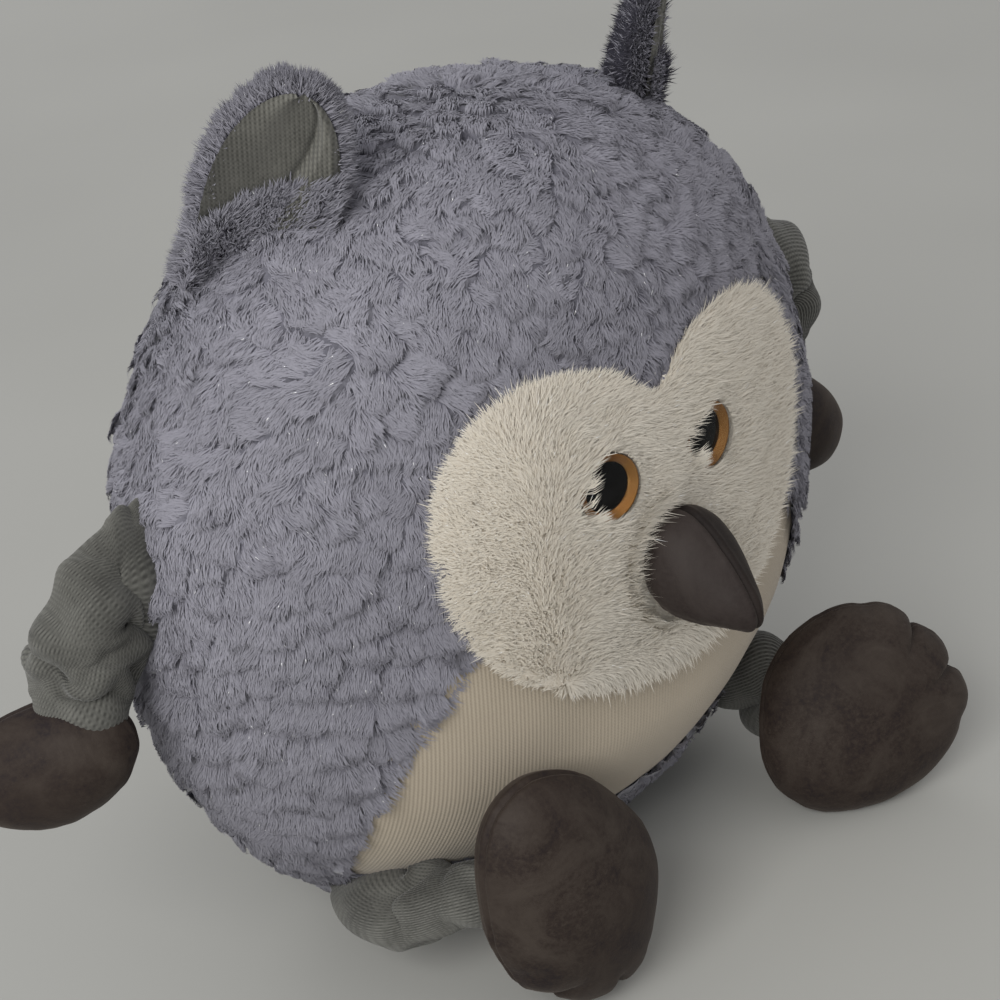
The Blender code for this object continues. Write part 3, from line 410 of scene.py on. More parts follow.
def mesh_piece(name, places, faces, uv, finish, rides, nodes=(), normals=None):
    """A piece from points, faces grouped by side count, and a map place per point or face corner."""
    mesh = bpy.data.meshes.new(name)
    places = np.asarray(places, np.float32)
    mesh.vertices.add(len(places))
    mesh.vertices.foreach_set("co", places.ravel())
    groups = [np.asarray(group, np.int32) for group in faces if len(group)]
    corners = np.concatenate([group.ravel() for group in groups])
    sizes = np.concatenate([np.full(len(group), group.shape[1], np.int32) for group in groups])
    mesh.loops.add(len(corners))
    mesh.loops.foreach_set("vertex_index", corners)
    mesh.polygons.add(len(sizes))
    mesh.polygons.foreach_set("loop_start", np.concatenate([[0], np.cumsum(sizes)[:-1]]).astype(np.int32))
    mesh.polygons.foreach_set("use_smooth", np.ones(len(sizes), bool))
    layer = mesh.uv_layers.new(name=UV)
    flat = np.asarray(uv, np.float32)
    flat = flat[corners] if len(flat) == len(places) else flat
    layer.data.foreach_set("uv", flat.ravel())
    mesh.update(calc_edges=True)
    mesh.validate()
    if normals is not None:
        mesh.normals_split_custom_set_from_vertices(unit(np.asarray(normals, float)).tolist())
    mesh.materials.append(finish)
    made = bpy.data.objects.new(name, mesh)
    bpy.context.scene.collection.objects.link(made)
    if rides:
        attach(made, rides)
    if nodes:
        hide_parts(*nodes)
    return made


def grid_faces(rows, columns, wrap=True):
    """Quads of a grid stored row by row, round its columns if it wraps."""
    across = columns if wrap else columns - 1
    row, column = np.meshgrid(np.arange(rows - 1), np.arange(across), indexing="ij")
    after = (column + 1) % columns
    return stacked(row * columns + column, row * columns + after,
                   (row + 1) * columns + after, (row + 1) * columns + column).reshape(-1, 4)


def paired(across, up):
    """Every pair of a number across and a number up, row by row."""
    return stacked(*[a.ravel() for a in np.meshgrid(across, up)])


def round_map(rows, columns):
    return paired(np.arange(columns) / columns, np.linspace(0, 1, rows))


def kept_part(places, quads, keep):
    """The points and faces of the kept faces only, and the old index of each kept point."""
    quads = quads[keep]
    used = np.unique(quads)
    index = np.zeros(len(places), np.int32)
    index[used] = np.arange(len(used))
    return places[used], index[quads], used


def corner_map(uv, faces, fit=False):
    """A map place for each corner of quads, which runs on past 1 where a quad crosses the map's
    edge, and is fitted to the map's square if asked."""
    corner = uv[faces.ravel()].reshape(-1, 4, 2)
    wraps = np.ptp(corner[:, :, 0], axis=1) > 0.5
    corner[wraps, :, 0] = np.where(corner[wraps, :, 0] < 0.5, corner[wraps, :, 0] + 1, corner[wraps, :, 0])
    corner = corner.reshape(-1, 2)
    if fit:
        low, high = corner.min(axis=0), corner.max(axis=0)
        corner = 0.02 + 0.96 * (corner - low) / (high - low)
    return corner


def grid_normals(grid, wrap=False):
    if wrap:
        padded = np.concatenate([grid[:, -1:], grid, grid[:, :1]], axis=1)
        across = padded[:, 2:] - padded[:, :-2]
    else:
        across = np.gradient(grid, axis=1)
    return unit(np.cross(across, np.gradient(grid, axis=0)))


def fibre_lines(root, *moves):
    """Lines from roots, moved along each direction by its amount at every station."""
    line = root[:, None]
    for way, amounts in moves:
        line = line + way[:, None] * amounts[..., None]
    return line


def fibre_tints(tint, glint_share):
    """Tints held inside the map, with a share of fibres whose tips are painted white as glints."""
    tint = np.clip(tint, *PLAIN_TINTS)
    tint[RNG.random(len(tint)) < glint_share] = GLINT_TINT
    return tint


def ribbons(name, line, width, normal, tint, finish, spin=0.8):
    """Tapering fibres along lines of three points, flat towards their normals give or take a spin."""
    count = len(line)
    ahead = unit(line[:, 2] - line[:, 0])
    side = unit(np.cross(ahead, normal))
    turn = RNG.normal(0, spin, (count, 1))
    side = side * np.cos(turn) + unit(np.cross(side, ahead)) * np.sin(turn)
    half = side * width[:, None] / 2
    places = np.stack([line[:, 0] - half, line[:, 0] + half, line[:, 1] - half * .9, line[:, 1] + half * .9,
                       line[:, 2]], axis=1).reshape(-1, 3)
    first = np.arange(count)[:, None] * 5
    across = np.array([-1, 1, -1, 1, 0]) * 0.004
    up = np.array([0.02, 0.02, .55, .55, .98])
    uv = stacked(tint[:, None] + across, np.broadcast_to(up, (count, 5))).reshape(-1, 2)
    lean = unit(normal + RNG.normal(0, 0.05, (count, 3)))
    mesh_piece(name, places, [first + [0, 1, 3, 2], first + [2, 3, 4]], uv, finish, "torso",
               normals=np.repeat(lean, 5, axis=0))


# Body: a fine grid over the whole form, with the relief of its fur

COLUMNS, ROWS = 760, 381
BEARINGS = -math.pi + 2 * math.pi * np.arange(COLUMNS) / COLUMNS
TILTS = np.linspace(-math.pi / 2, math.pi / 2, ROWS)
TILTS[0] += 1e-4
TILTS[-1] -= 1e-4
GRID_BEARING, GRID_TILT = paired(BEARINGS, TILTS).T
GRID = body(GRID_BEARING, GRID_TILT)
GRID_KIND = cover_of(GRID)
SQUARE = GRID.reshape(ROWS, COLUMNS, 3)
CELL_AREA = np.zeros((ROWS, COLUMNS))
CELL_AREA[:-1] = np.linalg.norm(np.cross(
    np.roll(SQUARE, -1, axis=1)[:-1] - SQUARE[:-1], SQUARE[1:] - SQUARE[:-1]), axis=-1)


def scattered(count):
    """Bearings and tilts spread evenly over the body's area."""
    share = np.cumsum(CELL_AREA.ravel())
    cell = np.searchsorted(share, RNG.random(count) * share[-1])
    row, column = np.divmod(cell, COLUMNS)
    tilt = TILTS[0] + (row + RNG.random(count)) * (TILTS[1 + ROWS // 2] - TILTS[ROWS // 2])
    return BEARINGS[column] + RNG.random(count) * 2 * math.pi / COLUMNS, np.clip(tilt, TILTS[0], TILTS[-1])


# The fur's rows: their pitch, the radius by which tilts count as lengths, and where they loosen
ROW_PITCH, ROW_RADIUS = 11.5 * MM, 155 * MM
LOOSE_FROM, LOOSE_OVER = 150 * MM, 85 * MM
TUFT_LONG = 12.5 * MM


def lay_warp(place):
    x, y, z = place.T
    head = step01((z - 0.190) / 0.075)
    sweep = step01((z - 0.215) / 0.07) * step01((x + 0.03) / 0.07) * step01((0.03 - y) / 0.05)
    return (noise(place, 0.050, 3) * (6 + 12 * head) + noise(place, 0.019, 5) * (2.8 + 3.0 * head)
            + noise(place, 0.009, 6) * 0.9) * MM + sweep * (x - 0.04) * 1.3


def lay_of(bearing, tilt):
    """The fur lies in rows like shingles: place and normal, how far along its row each point is,
    and the way its fibres lie."""
    place, normal, down, east = skin(bearing, tilt)
    step = math.radians(0.4)
    rise = body(bearing, tilt + step) - body(bearing, tilt - step)
    pace = ROW_RADIUS * 2 * step / np.maximum(np.linalg.norm(rise, axis=-1), 1e-6)
    step = 0.8 * MM
    warp = lay_warp(place)
    slope_down = pace + (lay_warp(place + down * step) - warp) / step
    slope_east = (lay_warp(place + east * step) - warp) / step
    way = unit(down * slope_down[:, None] + east * slope_east[:, None])
    way = turned(way, normal, noise(place, 0.024, 7) * 0.50 + noise(place, 0.009, 8) * 0.22)
    row = ((math.pi / 2 - tilt) * ROW_RADIUS + warp) / ROW_PITCH
    shift = np.floor(row)[:, None] * np.array([.031, .017, .043])
    scallop = 1 - np.clip(np.abs(noise(place + shift, 13 * MM, 9)) * 2.2, 0, 1)
    row = row + 0.42 * scallop + 0.07 * noise(place, 2.2 * MM, 10)
    return place, normal, row - np.floor(row), way


def make_tufts():
    """Tufts of fur: middles, lay, height and tint. They line up in rows lower down and lie loose above."""
    place, normal, along, way = lay_of(*scattered(TUFT_TRIES))
    loose = step01((place[:, 2] - LOOSE_FROM) / LOOSE_OVER)
    chosen = np.abs(along - 0.5 + RNG.normal(0, 0.06, len(place))) < 0.12 + 0.45 * loose
    spacing = (7.4 + 2.6 * noise(place, 0.03, 14) + 1.6 * RNG.random(len(place))) * MM
    cells, taken = {}, []
    near = [(i, j, k) for i in (-1, 0, 1) for j in (-1, 0, 1) for k in (-1, 0, 1)]
    keys = np.floor(place / (12 * MM)).astype(int)
    for index in np.flatnonzero(chosen):
        x, y, z = keys[index]
        others = [other for i, j, k in near for other in cells.get((x + i, y + j, z + k), ())]
        if others and np.min(np.linalg.norm(place[others] - place[index], axis=1)) < spacing[index]:
            continue
        cells.setdefault((x, y, z), []).append(index)
        taken.append(index)
    place, normal, way, loose = place[taken], normal[taken], way[taken], loose[taken]
    way = turned(way, normal, RNG.normal(0, 1, len(taken)) * (0.10 + 0.24 * loose))
    height = (4.9 - 2.3 * loose + 1.6 * noise(place, 0.024, 13) + RNG.normal(0, 0.8, len(taken))) * MM
    return place, normal, way, np.clip(height, 0.8 * MM, 6 * MM), RNG.random(len(taken))


TUFT_PLACE, TUFT_NORMAL, TUFT_WAY, TUFT_HEIGHT, TUFT_TINT = make_tufts()
TUFT_TREE = KDTree(len(TUFT_PLACE))
for tuft, at in enumerate(TUFT_PLACE):
    TUFT_TREE.insert(at, tuft)
TUFT_TREE.balance()


def tuft_of(place):
    """The tuft that each point belongs to, how far along it the point is and how far aside."""
    wander = noises(place, 5 * MM, 15, 16, 17)
    wander += 0.5 * noises(place, 2 * MM, 18, 19, 20)
    moved = place + wander * 1.7 * MM
    found = np.array([[hit[1] for hit in TUFT_TREE.find_n(at, 4)] for at in moved])
    offset = moved[:, None] - TUFT_PLACE[found]
    ahead = np.sum(offset * TUFT_WAY[found], axis=-1)
    away = np.sum(offset ** 2, axis=-1) - 0.40 * ahead ** 2
    pick = (np.arange(len(place)), np.argmin(away, axis=1))
    owner = found[pick]
    aside = np.sum(offset[pick] * np.cross(TUFT_NORMAL[owner], TUFT_WAY[owner]), axis=-1)
    return owner, ahead[pick] / TUFT_LONG + 0.5, aside


def profile(along):
    """Height of a tuft along it, as a share: a ramp that levels out towards its tip."""
    return 0.10 + 0.90 * np.clip(along, 0, 1) ** 0.75


def pits(place):
    """Noise that is high in the small gaps between tufts."""
    return noise(place, 3.4 * MM, 23) + 0.4 * noise(place, 0.03, 24)


def make_relief():
    owner, along, aside = tuft_of(GRID)
    crown = 1 - 0.20 * np.clip(np.abs(aside) / (6 * MM), 0, 1) ** 2
    return TUFT_HEIGHT[owner] * profile(along) * crown - 1.2 * MM * step01((pits(GRID) - 0.5) / 0.2)


RELIEF = make_relief()

# Each eye's seat on the face, its axis, how far its dome stands out, and the beak's root
EYE_SEAT, EYE_AXIS = (23.5 * MM, -86.383 * MM, 194.251 * MM), (.124575, -.989608, .07181)
EYE_OUT, EYE_RADIUS = 2.8 * MM, 12.4 * MM
EYES = {}
for side, sign in SIDES.items():
    axis = Vector(mirrored(EYE_AXIS, sign))
    EYES[side] = seated(mirrored(EYE_SEAT, sign), Vector((0, 0, 1)).cross(axis), axis)
BEAK_ROOT = np.array([0, -88.999, 158.251]) * MM
BEAK_LENGTH = 45.5 * MM


def eye_distance(points):
    """Distance from the nearer eye's axis."""
    away = [np.hypot(*put(points, matrix.inverted())[:, :2].T) for matrix in EYES.values()]
    return np.minimum(*away)


def beak_distance(points):
    """Distance outside the beak's section in the face's plane, as a share of its size."""
    return np.hypot(points[:, 0] / (23 * MM), (points[:, 2] - BEAK_ROOT[2]) / (25 * MM))


def make_ground():
    """The dense pile of each fur cover, in the relief of its rows, and the stuffing under it."""
    inset = 6.0 * MM - RELIEF + noise(GRID, 2.6 * MM, 11) * 0.30 * MM
    inset = np.where(GRID_KIND == FACE, 1.6 * MM + noise(GRID, 9 * MM, 12) * 0.6 * MM, inset)
    front = (GRID[:, 1] < 0) & (GRID_KIND >= FACE)
    well = 1 - step01((eye_distance(GRID) - 11.2 * MM) / (2.0 * MM))
    inset = np.where(front, inset * (1 - well) + STUFFING_INSET * well, inset)
    places = body(GRID_BEARING, GRID_TILT, inset)
    quads = grid_faces(ROWS, COLUMNS)
    uv = stacked((GRID_BEARING + math.pi) / (2 * math.pi), (GRID_TILT + math.pi / 2) / math.pi)
    for index, (cover, node) in enumerate(list(COVERS.items())[:FACE + 1]):
        part, faces, used = kept_part(places, quads, GRID_KIND[quads[:, 0]] == index)
        white = cover == "face"
        made = mesh_piece(
            cover + "_cover_ground", part, [faces], corner_map(uv[used], faces, True),
            WHITE_GROUND if white else FUR_GROUND, "torso", [node])
        # The relief runs from 0 where the ground lies deep, which its finish darkens as painted shade, up to 1.
        layer = made.data.attributes.new("relief", "FLOAT", "POINT")
        relief = np.clip(1 - (inset[used] + 0.5 * MM) / (6 * MM), 0, 1)
        layer.data.foreach_set("value", relief.astype(np.float32))
    rows, columns = 61, 96
    bearing, tilt = paired(2 * math.pi * np.arange(columns) / columns,
                           np.linspace(-math.pi / 2 + .001, math.pi / 2 - .001, rows)).T
    mesh_piece(
        "torso_stuffing_core", body(bearing, tilt, STUFFING_INSET), [grid_faces(rows, columns)],
        stacked(bearing / (2 * math.pi) * .9, (tilt + math.pi / 2) / math.pi), STUFFING,
        "torso", ["torso_stuffing"])


def make_pile():
    """Lavender fibres that lie along their tuft in small locks and end at its lip."""
    bearing, tilt = scattered(FUR_FIBRES)
    place, normal, *_ = skin(bearing, tilt)
    kind = cover_of(place)
    pit = pits(place) > 0.62
    to_belly = outline_depth(BELLY, place[:, 0], place[:, 2])
    fringe = (kind == KNIT_BELLY) & (place[:, 1] < 0) & (to_belly < 1.5 * MM) & (place[:, 2] > BASE_SEAM)
    kind = np.where(fringe, np.where(place[:, 0] < 0, 0, 1), kind)
    keep = (kind < FACE) & (place[:, 2] > 6 * MM) & ~(pit & (RNG.random(FUR_FIBRES) < 0.8))
    place, normal, kind, to_belly = place[keep], normal[keep], kind[keep], to_belly[keep]
    count = len(place)
    owner, along, aside = tuft_of(place)
    lift, way = TUFT_HEIGHT[owner], TUFT_WAY[owner]
    high = step01((place[:, 2] - LOOSE_FROM) / LOOSE_OVER)
    turn = (noise(place, 0.012, 8) * 0.35 + noise(place, 4 * MM, 22) * (0.40 + 0.45 * high)
            - np.clip(aside / (7 * MM), -1, 1) * 0.16)
    way = turned(way, normal, turn + RNG.normal(0, 0.14, count))
    way = unit(way - normal * np.sum(way * normal, axis=1)[:, None])
    reach = RNG.uniform(2.4, 6.2, count) * MM
    longest = np.maximum((1.0 - along) * TUFT_LONG + (1.1 + 2.6 * high) * MM, 1.8 * MM)
    reach = np.clip(reach, 1.7 * MM, longest)
    end, half = along + reach / TUFT_LONG, along + reach * 0.5 / TUFT_LONG
    shape = RNG.normal(0, 0.18 * MM, count)
    root = lift * profile(along) - 0.9 * MM
    middle = lift * profile(half) + 0.15 * MM + shape
    tip = (lift * profile(end) + RNG.uniform(-0.45, 0.4, count) * MM + shape
           - np.clip(end - 1, 0, 1) * 6 * MM)
    stations = np.array([0, .52, 1])
    sway = RNG.normal(0, 0.35 * MM, (count, 1)) * stations ** 2
    line = fibre_lines(place, (way, reach[:, None] * stations), (np.cross(normal, way), sway),
                       (normal, -PILE_ROOT + stacked(root, middle, tip)))
    line += RNG.normal(0, 0.08 * MM, line.shape) * stations[:, None]
    at_belly = step01((6 * MM - np.abs(to_belly)) / (6 * MM)) * (place[:, 1] < 0) * (place[:, 2] > BASE_SEAM)
    inward = -np.sign(place[:, 0]) * at_belly * reach * 0.5
    line[..., 0] += inward[:, None] * stations
    line[..., 2] = np.maximum(line[..., 2], 0.5 * MM)
    tint = fibre_tints(0.5 + (TUFT_TINT[owner] - 0.5) * 0.36 + RNG.normal(0, 0.07, count)
                       + noise(place, 0.05, 21) * 0.14, 0.003)
    width = RNG.uniform(0.32, 0.50, count) * MM
    lean = (step01((along - 0.55) / 0.4) * 0.45 - 0.10)[:, None]
    for index, cover in enumerate(list(COVERS)[:FACE]):
        mine = np.flatnonzero(kind == index)
        mine = mine[np.argsort(place[mine, 2])]
        for part, mine in enumerate(np.array_split(mine, math.ceil(len(mine) / PIECE_FIBRES)), 1):
            ribbons(f"{cover}_cover_pile_{part}", line[mine], width[mine], (normal + way * lean)[mine],
                    tint[mine], FUR, spin=0.22)


def clear_of_eyes(line):
    """Lifts fibre points that would pass through an eye's dome so that they lie over it."""
    for matrix in EYES.values():
        local = put(line.reshape(-1, 3), matrix.inverted())
        flat = np.hypot(local[:, 0], local[:, 1])
        dome = EYE_OUT + 4.0 * MM + 5.6 * MM * np.sqrt(np.clip(1 - (flat / EYE_RADIUS) ** 2, 0, 1))
        low = (flat < EYE_RADIUS) & (local[:, 2] < dome)
        local[low, 2] = dome[low]
        line = put(local, matrix).reshape(line.shape)
    return line


def clear_of_beak(line):
    """Moves fibre points that would lie inside the beak out to its surface."""
    flat = line.reshape(-1, 3)
    reach = np.clip((BEAK_ROOT[1] - flat[:, 1]) / BEAK_LENGTH, 0, 1)
    taper = 1 - 0.40 * step01(reach)
    middle = BEAK_ROOT[2] + (2 - 11 * reach ** 2) * MM
    share = np.hypot(flat[:, 0] / (21 * MM * taper), (flat[:, 2] - middle) / (24.5 * MM * taper))
    push = np.where((share < 1.02) & (share > 0.55), 1.03 / np.maximum(share, 0.55), 1)
    flat[:, 0] *= push
    flat[:, 2] = middle + (flat[:, 2] - middle) * push
    return flat.reshape(line.shape)


def thinned_over_eyes(line, lock):
    """Which fibres stay, so that only some locks reach over the near part of an eye."""
    keep = np.ones(len(line), bool)
    for matrix in EYES.values():
        local = put(line.reshape(-1, 3), matrix.inverted()).reshape(line.shape)
        over = np.max(12.2 * MM - np.hypot(local[..., 0], local[..., 1]), axis=1)
        keep &= (over < 0.8 * MM) | ((lock > 0.30) & (over < 6.5 * MM) & (local[:, 0, 0] < 0))
    return keep


def face_flow(place, depth, rim):
    """The way the face is brushed: across and up, parted on its right lobe, and down over the
    belly's edge."""
    x, z = place[:, 0], place[:, 2]
    level = np.zeros(len(place))
    step = 1 * MM
    outward = -stacked(outline_depth(MASK, x + step, z) - depth, level,
                       outline_depth(MASK, x, z + step) - depth) / step
    low = step01((0.133 - z) / 0.018)[:, None]
    across = step01((x + 0.01) / 0.05)[:, None]
    parted = step01((-x - 0.036) / 0.030)[:, None]
    flow = (np.array([0.45, 0, 0.25]) * (1 - low) + np.array([0.1, 0, -1.5]) * low
            + np.array([0.6, 0, 0]) * across)
    flow += (np.array([-1.05, 0, 0.15]) * parted + np.array([0, 0, 1.8]) * parted * (1 - parted)) * (1 - low)
    flow = flow + stacked(noise(place, 0.022, 31), level, noise(place, 0.022, 32)) * 0.35
    flow += noises(place, 0.007, 33, 37, 34) * 0.28
    return flow * (1 - 0.4 * rim) + outward * rim * 0.25


def make_face_pile():
    """Long white fibres, shorter round the eyes and the beak, some of them over its root."""
    bearing, tilt = scattered(FACE_FIBRES)
    place, normal, *_ = skin(bearing, tilt)
    near = eye_distance(place)
    keep = (cover_of(place) == FACE) & (near > 12.3 * MM) & (beak_distance(place) > 0.50)
    place, normal, near = place[keep], normal[keep], near[keep]
    count = len(place)
    x = place[:, 0]
    depth = outline_depth(MASK, x, place[:, 2])
    rim = step01((7 * MM - depth) / (7 * MM))[:, None]
    flow = face_flow(place, depth, rim)
    ahead = unit(flow - normal * np.sum(flow * normal, axis=1)[:, None])
    eyed = step01((18 * MM - near) / (4 * MM))
    left_of = np.where(x < 0, x < -EYE_SEAT[0], x < EYE_SEAT[0])
    reach = np.clip(np.linalg.norm(flow, axis=1) * 6.0 + RNG.normal(0, 1.4, count), 4.5, 11) * MM
    reach = np.where((eyed > 0.3) & left_of, np.maximum(reach, 7.5 * MM), reach)
    to_beak = beak_distance(place)
    short = np.maximum(eyed * ~left_of, step01((1.25 - to_beak) / 0.2) * (x > 0))
    reach *= 1 - 0.62 * short
    over_beak = (to_beak > 0.86) & (to_beak < 1.05) & (x < -2 * MM) & (RNG.random(count) < 0.5)
    tucked = step01((1.0 - to_beak) / 0.12) * ~over_beak
    reach = reach * (1 - tucked) + RNG.uniform(2.0, 3.2, count) * MM * tucked
    over_way = unit(np.array([0.35, -0.75, 0.65]) + RNG.normal(0, .12, ahead.shape))
    ahead = np.where(over_beak[:, None], over_way, ahead)
    reach = np.where(over_beak, RNG.uniform(6, 12, count) * MM, reach)
    ahead = unit(ahead + RNG.normal(0, 0.22, ahead.shape))
    clump = noise(place, 4 * MM, 35)
    tip = (0.3 + 0.7 * clump + RNG.uniform(-0.9, 0.8, count) + 1.2 * step01(0.3 - short)) * MM
    tip = (tip - rim[:, 0] * 1.2 * MM) * (1 - tucked)
    stations, arch, deep = np.array([0, .50, 1]), np.array([0, .66, 1.0]), 2.3 * MM
    line = fibre_lines(place, (ahead, reach[:, None] * stations ** 1.1),
                       (normal, -deep + (tip + deep)[:, None] * arch))
    line += RNG.normal(0, 0.28 * MM, line.shape) * stations[:, None] ** 1.5
    line[over_beak] = clear_of_beak(line[over_beak])
    keep = thinned_over_eyes(line, noise(place, 3.2 * MM, 36))
    line, normal, clump = clear_of_eyes(line[keep]), normal[keep], clump[keep]
    count = len(line)
    tint = fibre_tints(0.60 + clump * 0.10 + RNG.normal(0, 0.10, count), 0.01)
    width = RNG.uniform(0.34, 0.52, count) * MM
    for part, mine in enumerate(np.array_split(np.argsort(line[:, 0, 0]), 2), 1):
        ribbons(f"face_cover_pile_{part}", line[mine], width[mine], normal[mine], tint[mine], WHITE,
                spin=0.25)


def front_grid(xs, zs):
    """Points on the body's front, at the depth of the fibres' roots, at columns x and rows z."""
    x, z = paired(xs, zs).T
    low_b, high_b = np.full(len(x), -1.5), np.full(len(x), 1.5)
    for _ in range(24):
        bearing = (low_b + high_b) / 2
        low_t, high_t = np.full(len(x), -1.5), np.full(len(x), 1.5)
        for _ in range(20):
            tilt = (low_t + high_t) / 2
            under = body(bearing, tilt, PILE_ROOT)[:, 2] < z
            low_t, high_t = np.where(under, tilt, low_t), np.where(under, high_t, tilt)
        left = body(bearing, tilt, PILE_ROOT)[:, 0] < x
        low_b, high_b = np.where(left, bearing, low_b), np.where(left, high_b, bearing)
    return body(bearing, tilt, PILE_ROOT).reshape(len(zs), len(xs), 3)


def between(knots, at):
    """Places on a smooth line or grid through knots, at numbers that count its knots."""
    last = len(knots) - 1
    cell = np.minimum(at.astype(int), last - 1)
    share = (at - cell).reshape(-1, *[1] * (knots.ndim - 1))
    return cubic(knots[np.maximum(cell - 1, 0)], knots[cell], knots[cell + 1],
                 knots[np.minimum(cell + 2, last)], share)


def make_belly():
    rows, columns = 110, BELLY_RIBS * 4
    fine = np.linspace(-BELLY_REACH, BELLY_REACH, 241)
    edge = front_grid(fine, [90 * MM])[0]
    run = np.concatenate([[0], np.cumsum(np.linalg.norm(np.diff(edge, axis=0), axis=1))])
    xs = np.interp(np.linspace(0, run[-1], 57), run, fine)
    grid = front_grid(xs, np.linspace(BASE_SEAM - 1 * MM, 160 * MM, 26))
    for count in (rows, columns):
        grid = between(grid, np.linspace(0, len(grid) - 1, count)).transpose(1, 0, 2)
    flat = grid.reshape(-1, 3)
    swell = noise(flat, 0.05, 41) * 1.2 * MM + noise(flat * [1, 1, 0.5], 0.016, 42) * 0.35 * MM
    rib = np.tile([0.0, 0.14, 0.19, 0.14], BELLY_RIBS) * MM
    grid = grid + grid_normals(grid) * (swell.reshape(rows, -1) + rib)[..., None]
    quads = grid_faces(rows, columns, False)
    x, _, z = flat[quads].mean(axis=1).T
    keep = (outline_depth(BELLY, x, z) > -2.5 * MM) & (outline_depth(MASK, x, z) < 3 * MM)
    part, faces, used = kept_part(grid.reshape(-1, 3), quads, keep)
    uv = paired(np.arange(columns) / columns, np.arange(rows) / rows)[used]
    mesh_piece("belly_knit", part, [faces], uv, CREAM, "torso", [COVERS["belly"]])


# Stuffed hands, feet and beak: half sizes of covers and stuffing in millimetres

HAND_HALF, HAND_CORE = (31, 21, 16), (24, 14, 10)
FOOT_HALF, FOOT_CORE = (49, 40, 22.5), (32, 28, 15)


def round_grid(rows, columns):
    """Unit points by rows from -Z to +Z, closer together near the middle."""
    share = np.linspace(-1, 1, rows)
    lat = (0.72 * share + 0.28 * share ** 3) * (math.pi / 2 - 0.004)
    lat, bearing = np.meshgrid(lat, 2 * math.pi * np.arange(columns) / columns, indexing="ij")
    return stacked(np.cos(lat) * np.cos(bearing), np.cos(lat) * np.sin(bearing), np.sin(lat))


def raised(points, outward, height):
    """A closed form's points, each moved out along its normal by its height."""
    normal = grid_normals(points, True)
    normal = np.where(np.sum(normal * outward, axis=-1, keepdims=True) < 0, -normal, normal)
    return points + normal * height.reshape(*points.shape[:2], 1)


def spun(points, angle):
    """Points turned about Z."""
    x, y, z = points[..., 0], points[..., 1], points[..., 2]
    return stacked(x * math.cos(angle) - y * math.sin(angle), x * math.sin(angle) + y * math.cos(angle), z)


def seam_relief(flat, seed):
    """A sewn seam along the middle row: a groove with puckers that fade away from it."""
    away = np.abs(flat[:, 2])
    return (-0.9 * MM * bell(away, 1.0 * MM) + 0.35 * MM * bell(away - 2.2 * MM, 1.3 * MM)
            + noise(flat * [1, 1, .2], 3.6 * MM, seed) * 0.35 * MM * np.exp(-away / (5 * MM)))


def stuffed(kind, side, covers, points, grid, half_core, matrix):
    """The two cover halves of a stuffed form stored by rows, which meet at its middle row, and
    its hidden stuffing on a coarser grid."""
    rides = f"{kind}_{side}"
    rows, columns, _ = points.shape
    quads = grid_faces(rows, columns)
    placed = put(points.reshape(-1, 3), matrix)
    second = quads[:, 0] >= rows // 2 * columns
    for cover, keep in zip(covers, (second, ~second)):
        part, faces, used = kept_part(placed, quads, keep)
        across, up = round_map(rows, columns)[used].T
        radius, turn = (0.5 - np.abs(up - 0.5)) * 0.96, across * 2 * math.pi
        uv = stacked(0.5 + radius * np.cos(turn), 0.5 + radius * np.sin(turn))
        mesh_piece(f"{kind}_{cover}_velour_{side}", part, [faces], uv, VELOUR, rides,
                   [f"{kind}_{cover}_{side}"])
    inner = grid[::8, ::8] * np.array(half_core) * MM
    rows, columns, _ = inner.shape
    mesh_piece(f"{kind}_stuffing_core_{side}", put(inner.reshape(-1, 3), matrix), [grid_faces(rows, columns)],
               round_map(rows, columns), STUFFING, rides, [f"{kind}_stuffing_{side}"])


def make_hand(side, matrix):
    grid = round_grid(97, 160)
    points = grid * np.array(HAND_HALF) * MM
    points[..., :2] *= (1 + 0.07 * grid[..., 0])[..., None]
    flat = points.reshape(-1, 3)
    height = noise(flat, 0.02, 51) * 0.8 * MM + noise(flat, 0.007, 52) * 0.22 * MM + seam_relief(flat, 53)
    stuffed("hand", side, ("front", "back"), raised(points, grid, height), grid, HAND_CORE, matrix)


# How each stuffed foot's outline departs from an oval: its mean, then how much it is an egg, an
# oval, a triangle and a square, each with the bearing from the toes that it points to, in degrees.
FOOT_OUTLINE = {
    "right": (0.95, (0.08, -160), (0.12, 20), (0.02, -32), (0.03, 28)),
    "left": (0.96, (0.08, -52), (0.08, -90), (0.04, -49))}
FOOT_OVAL_LEAN = {"right": -0.75, "left": 0.0}
TOE_SPREAD = math.radians(38)


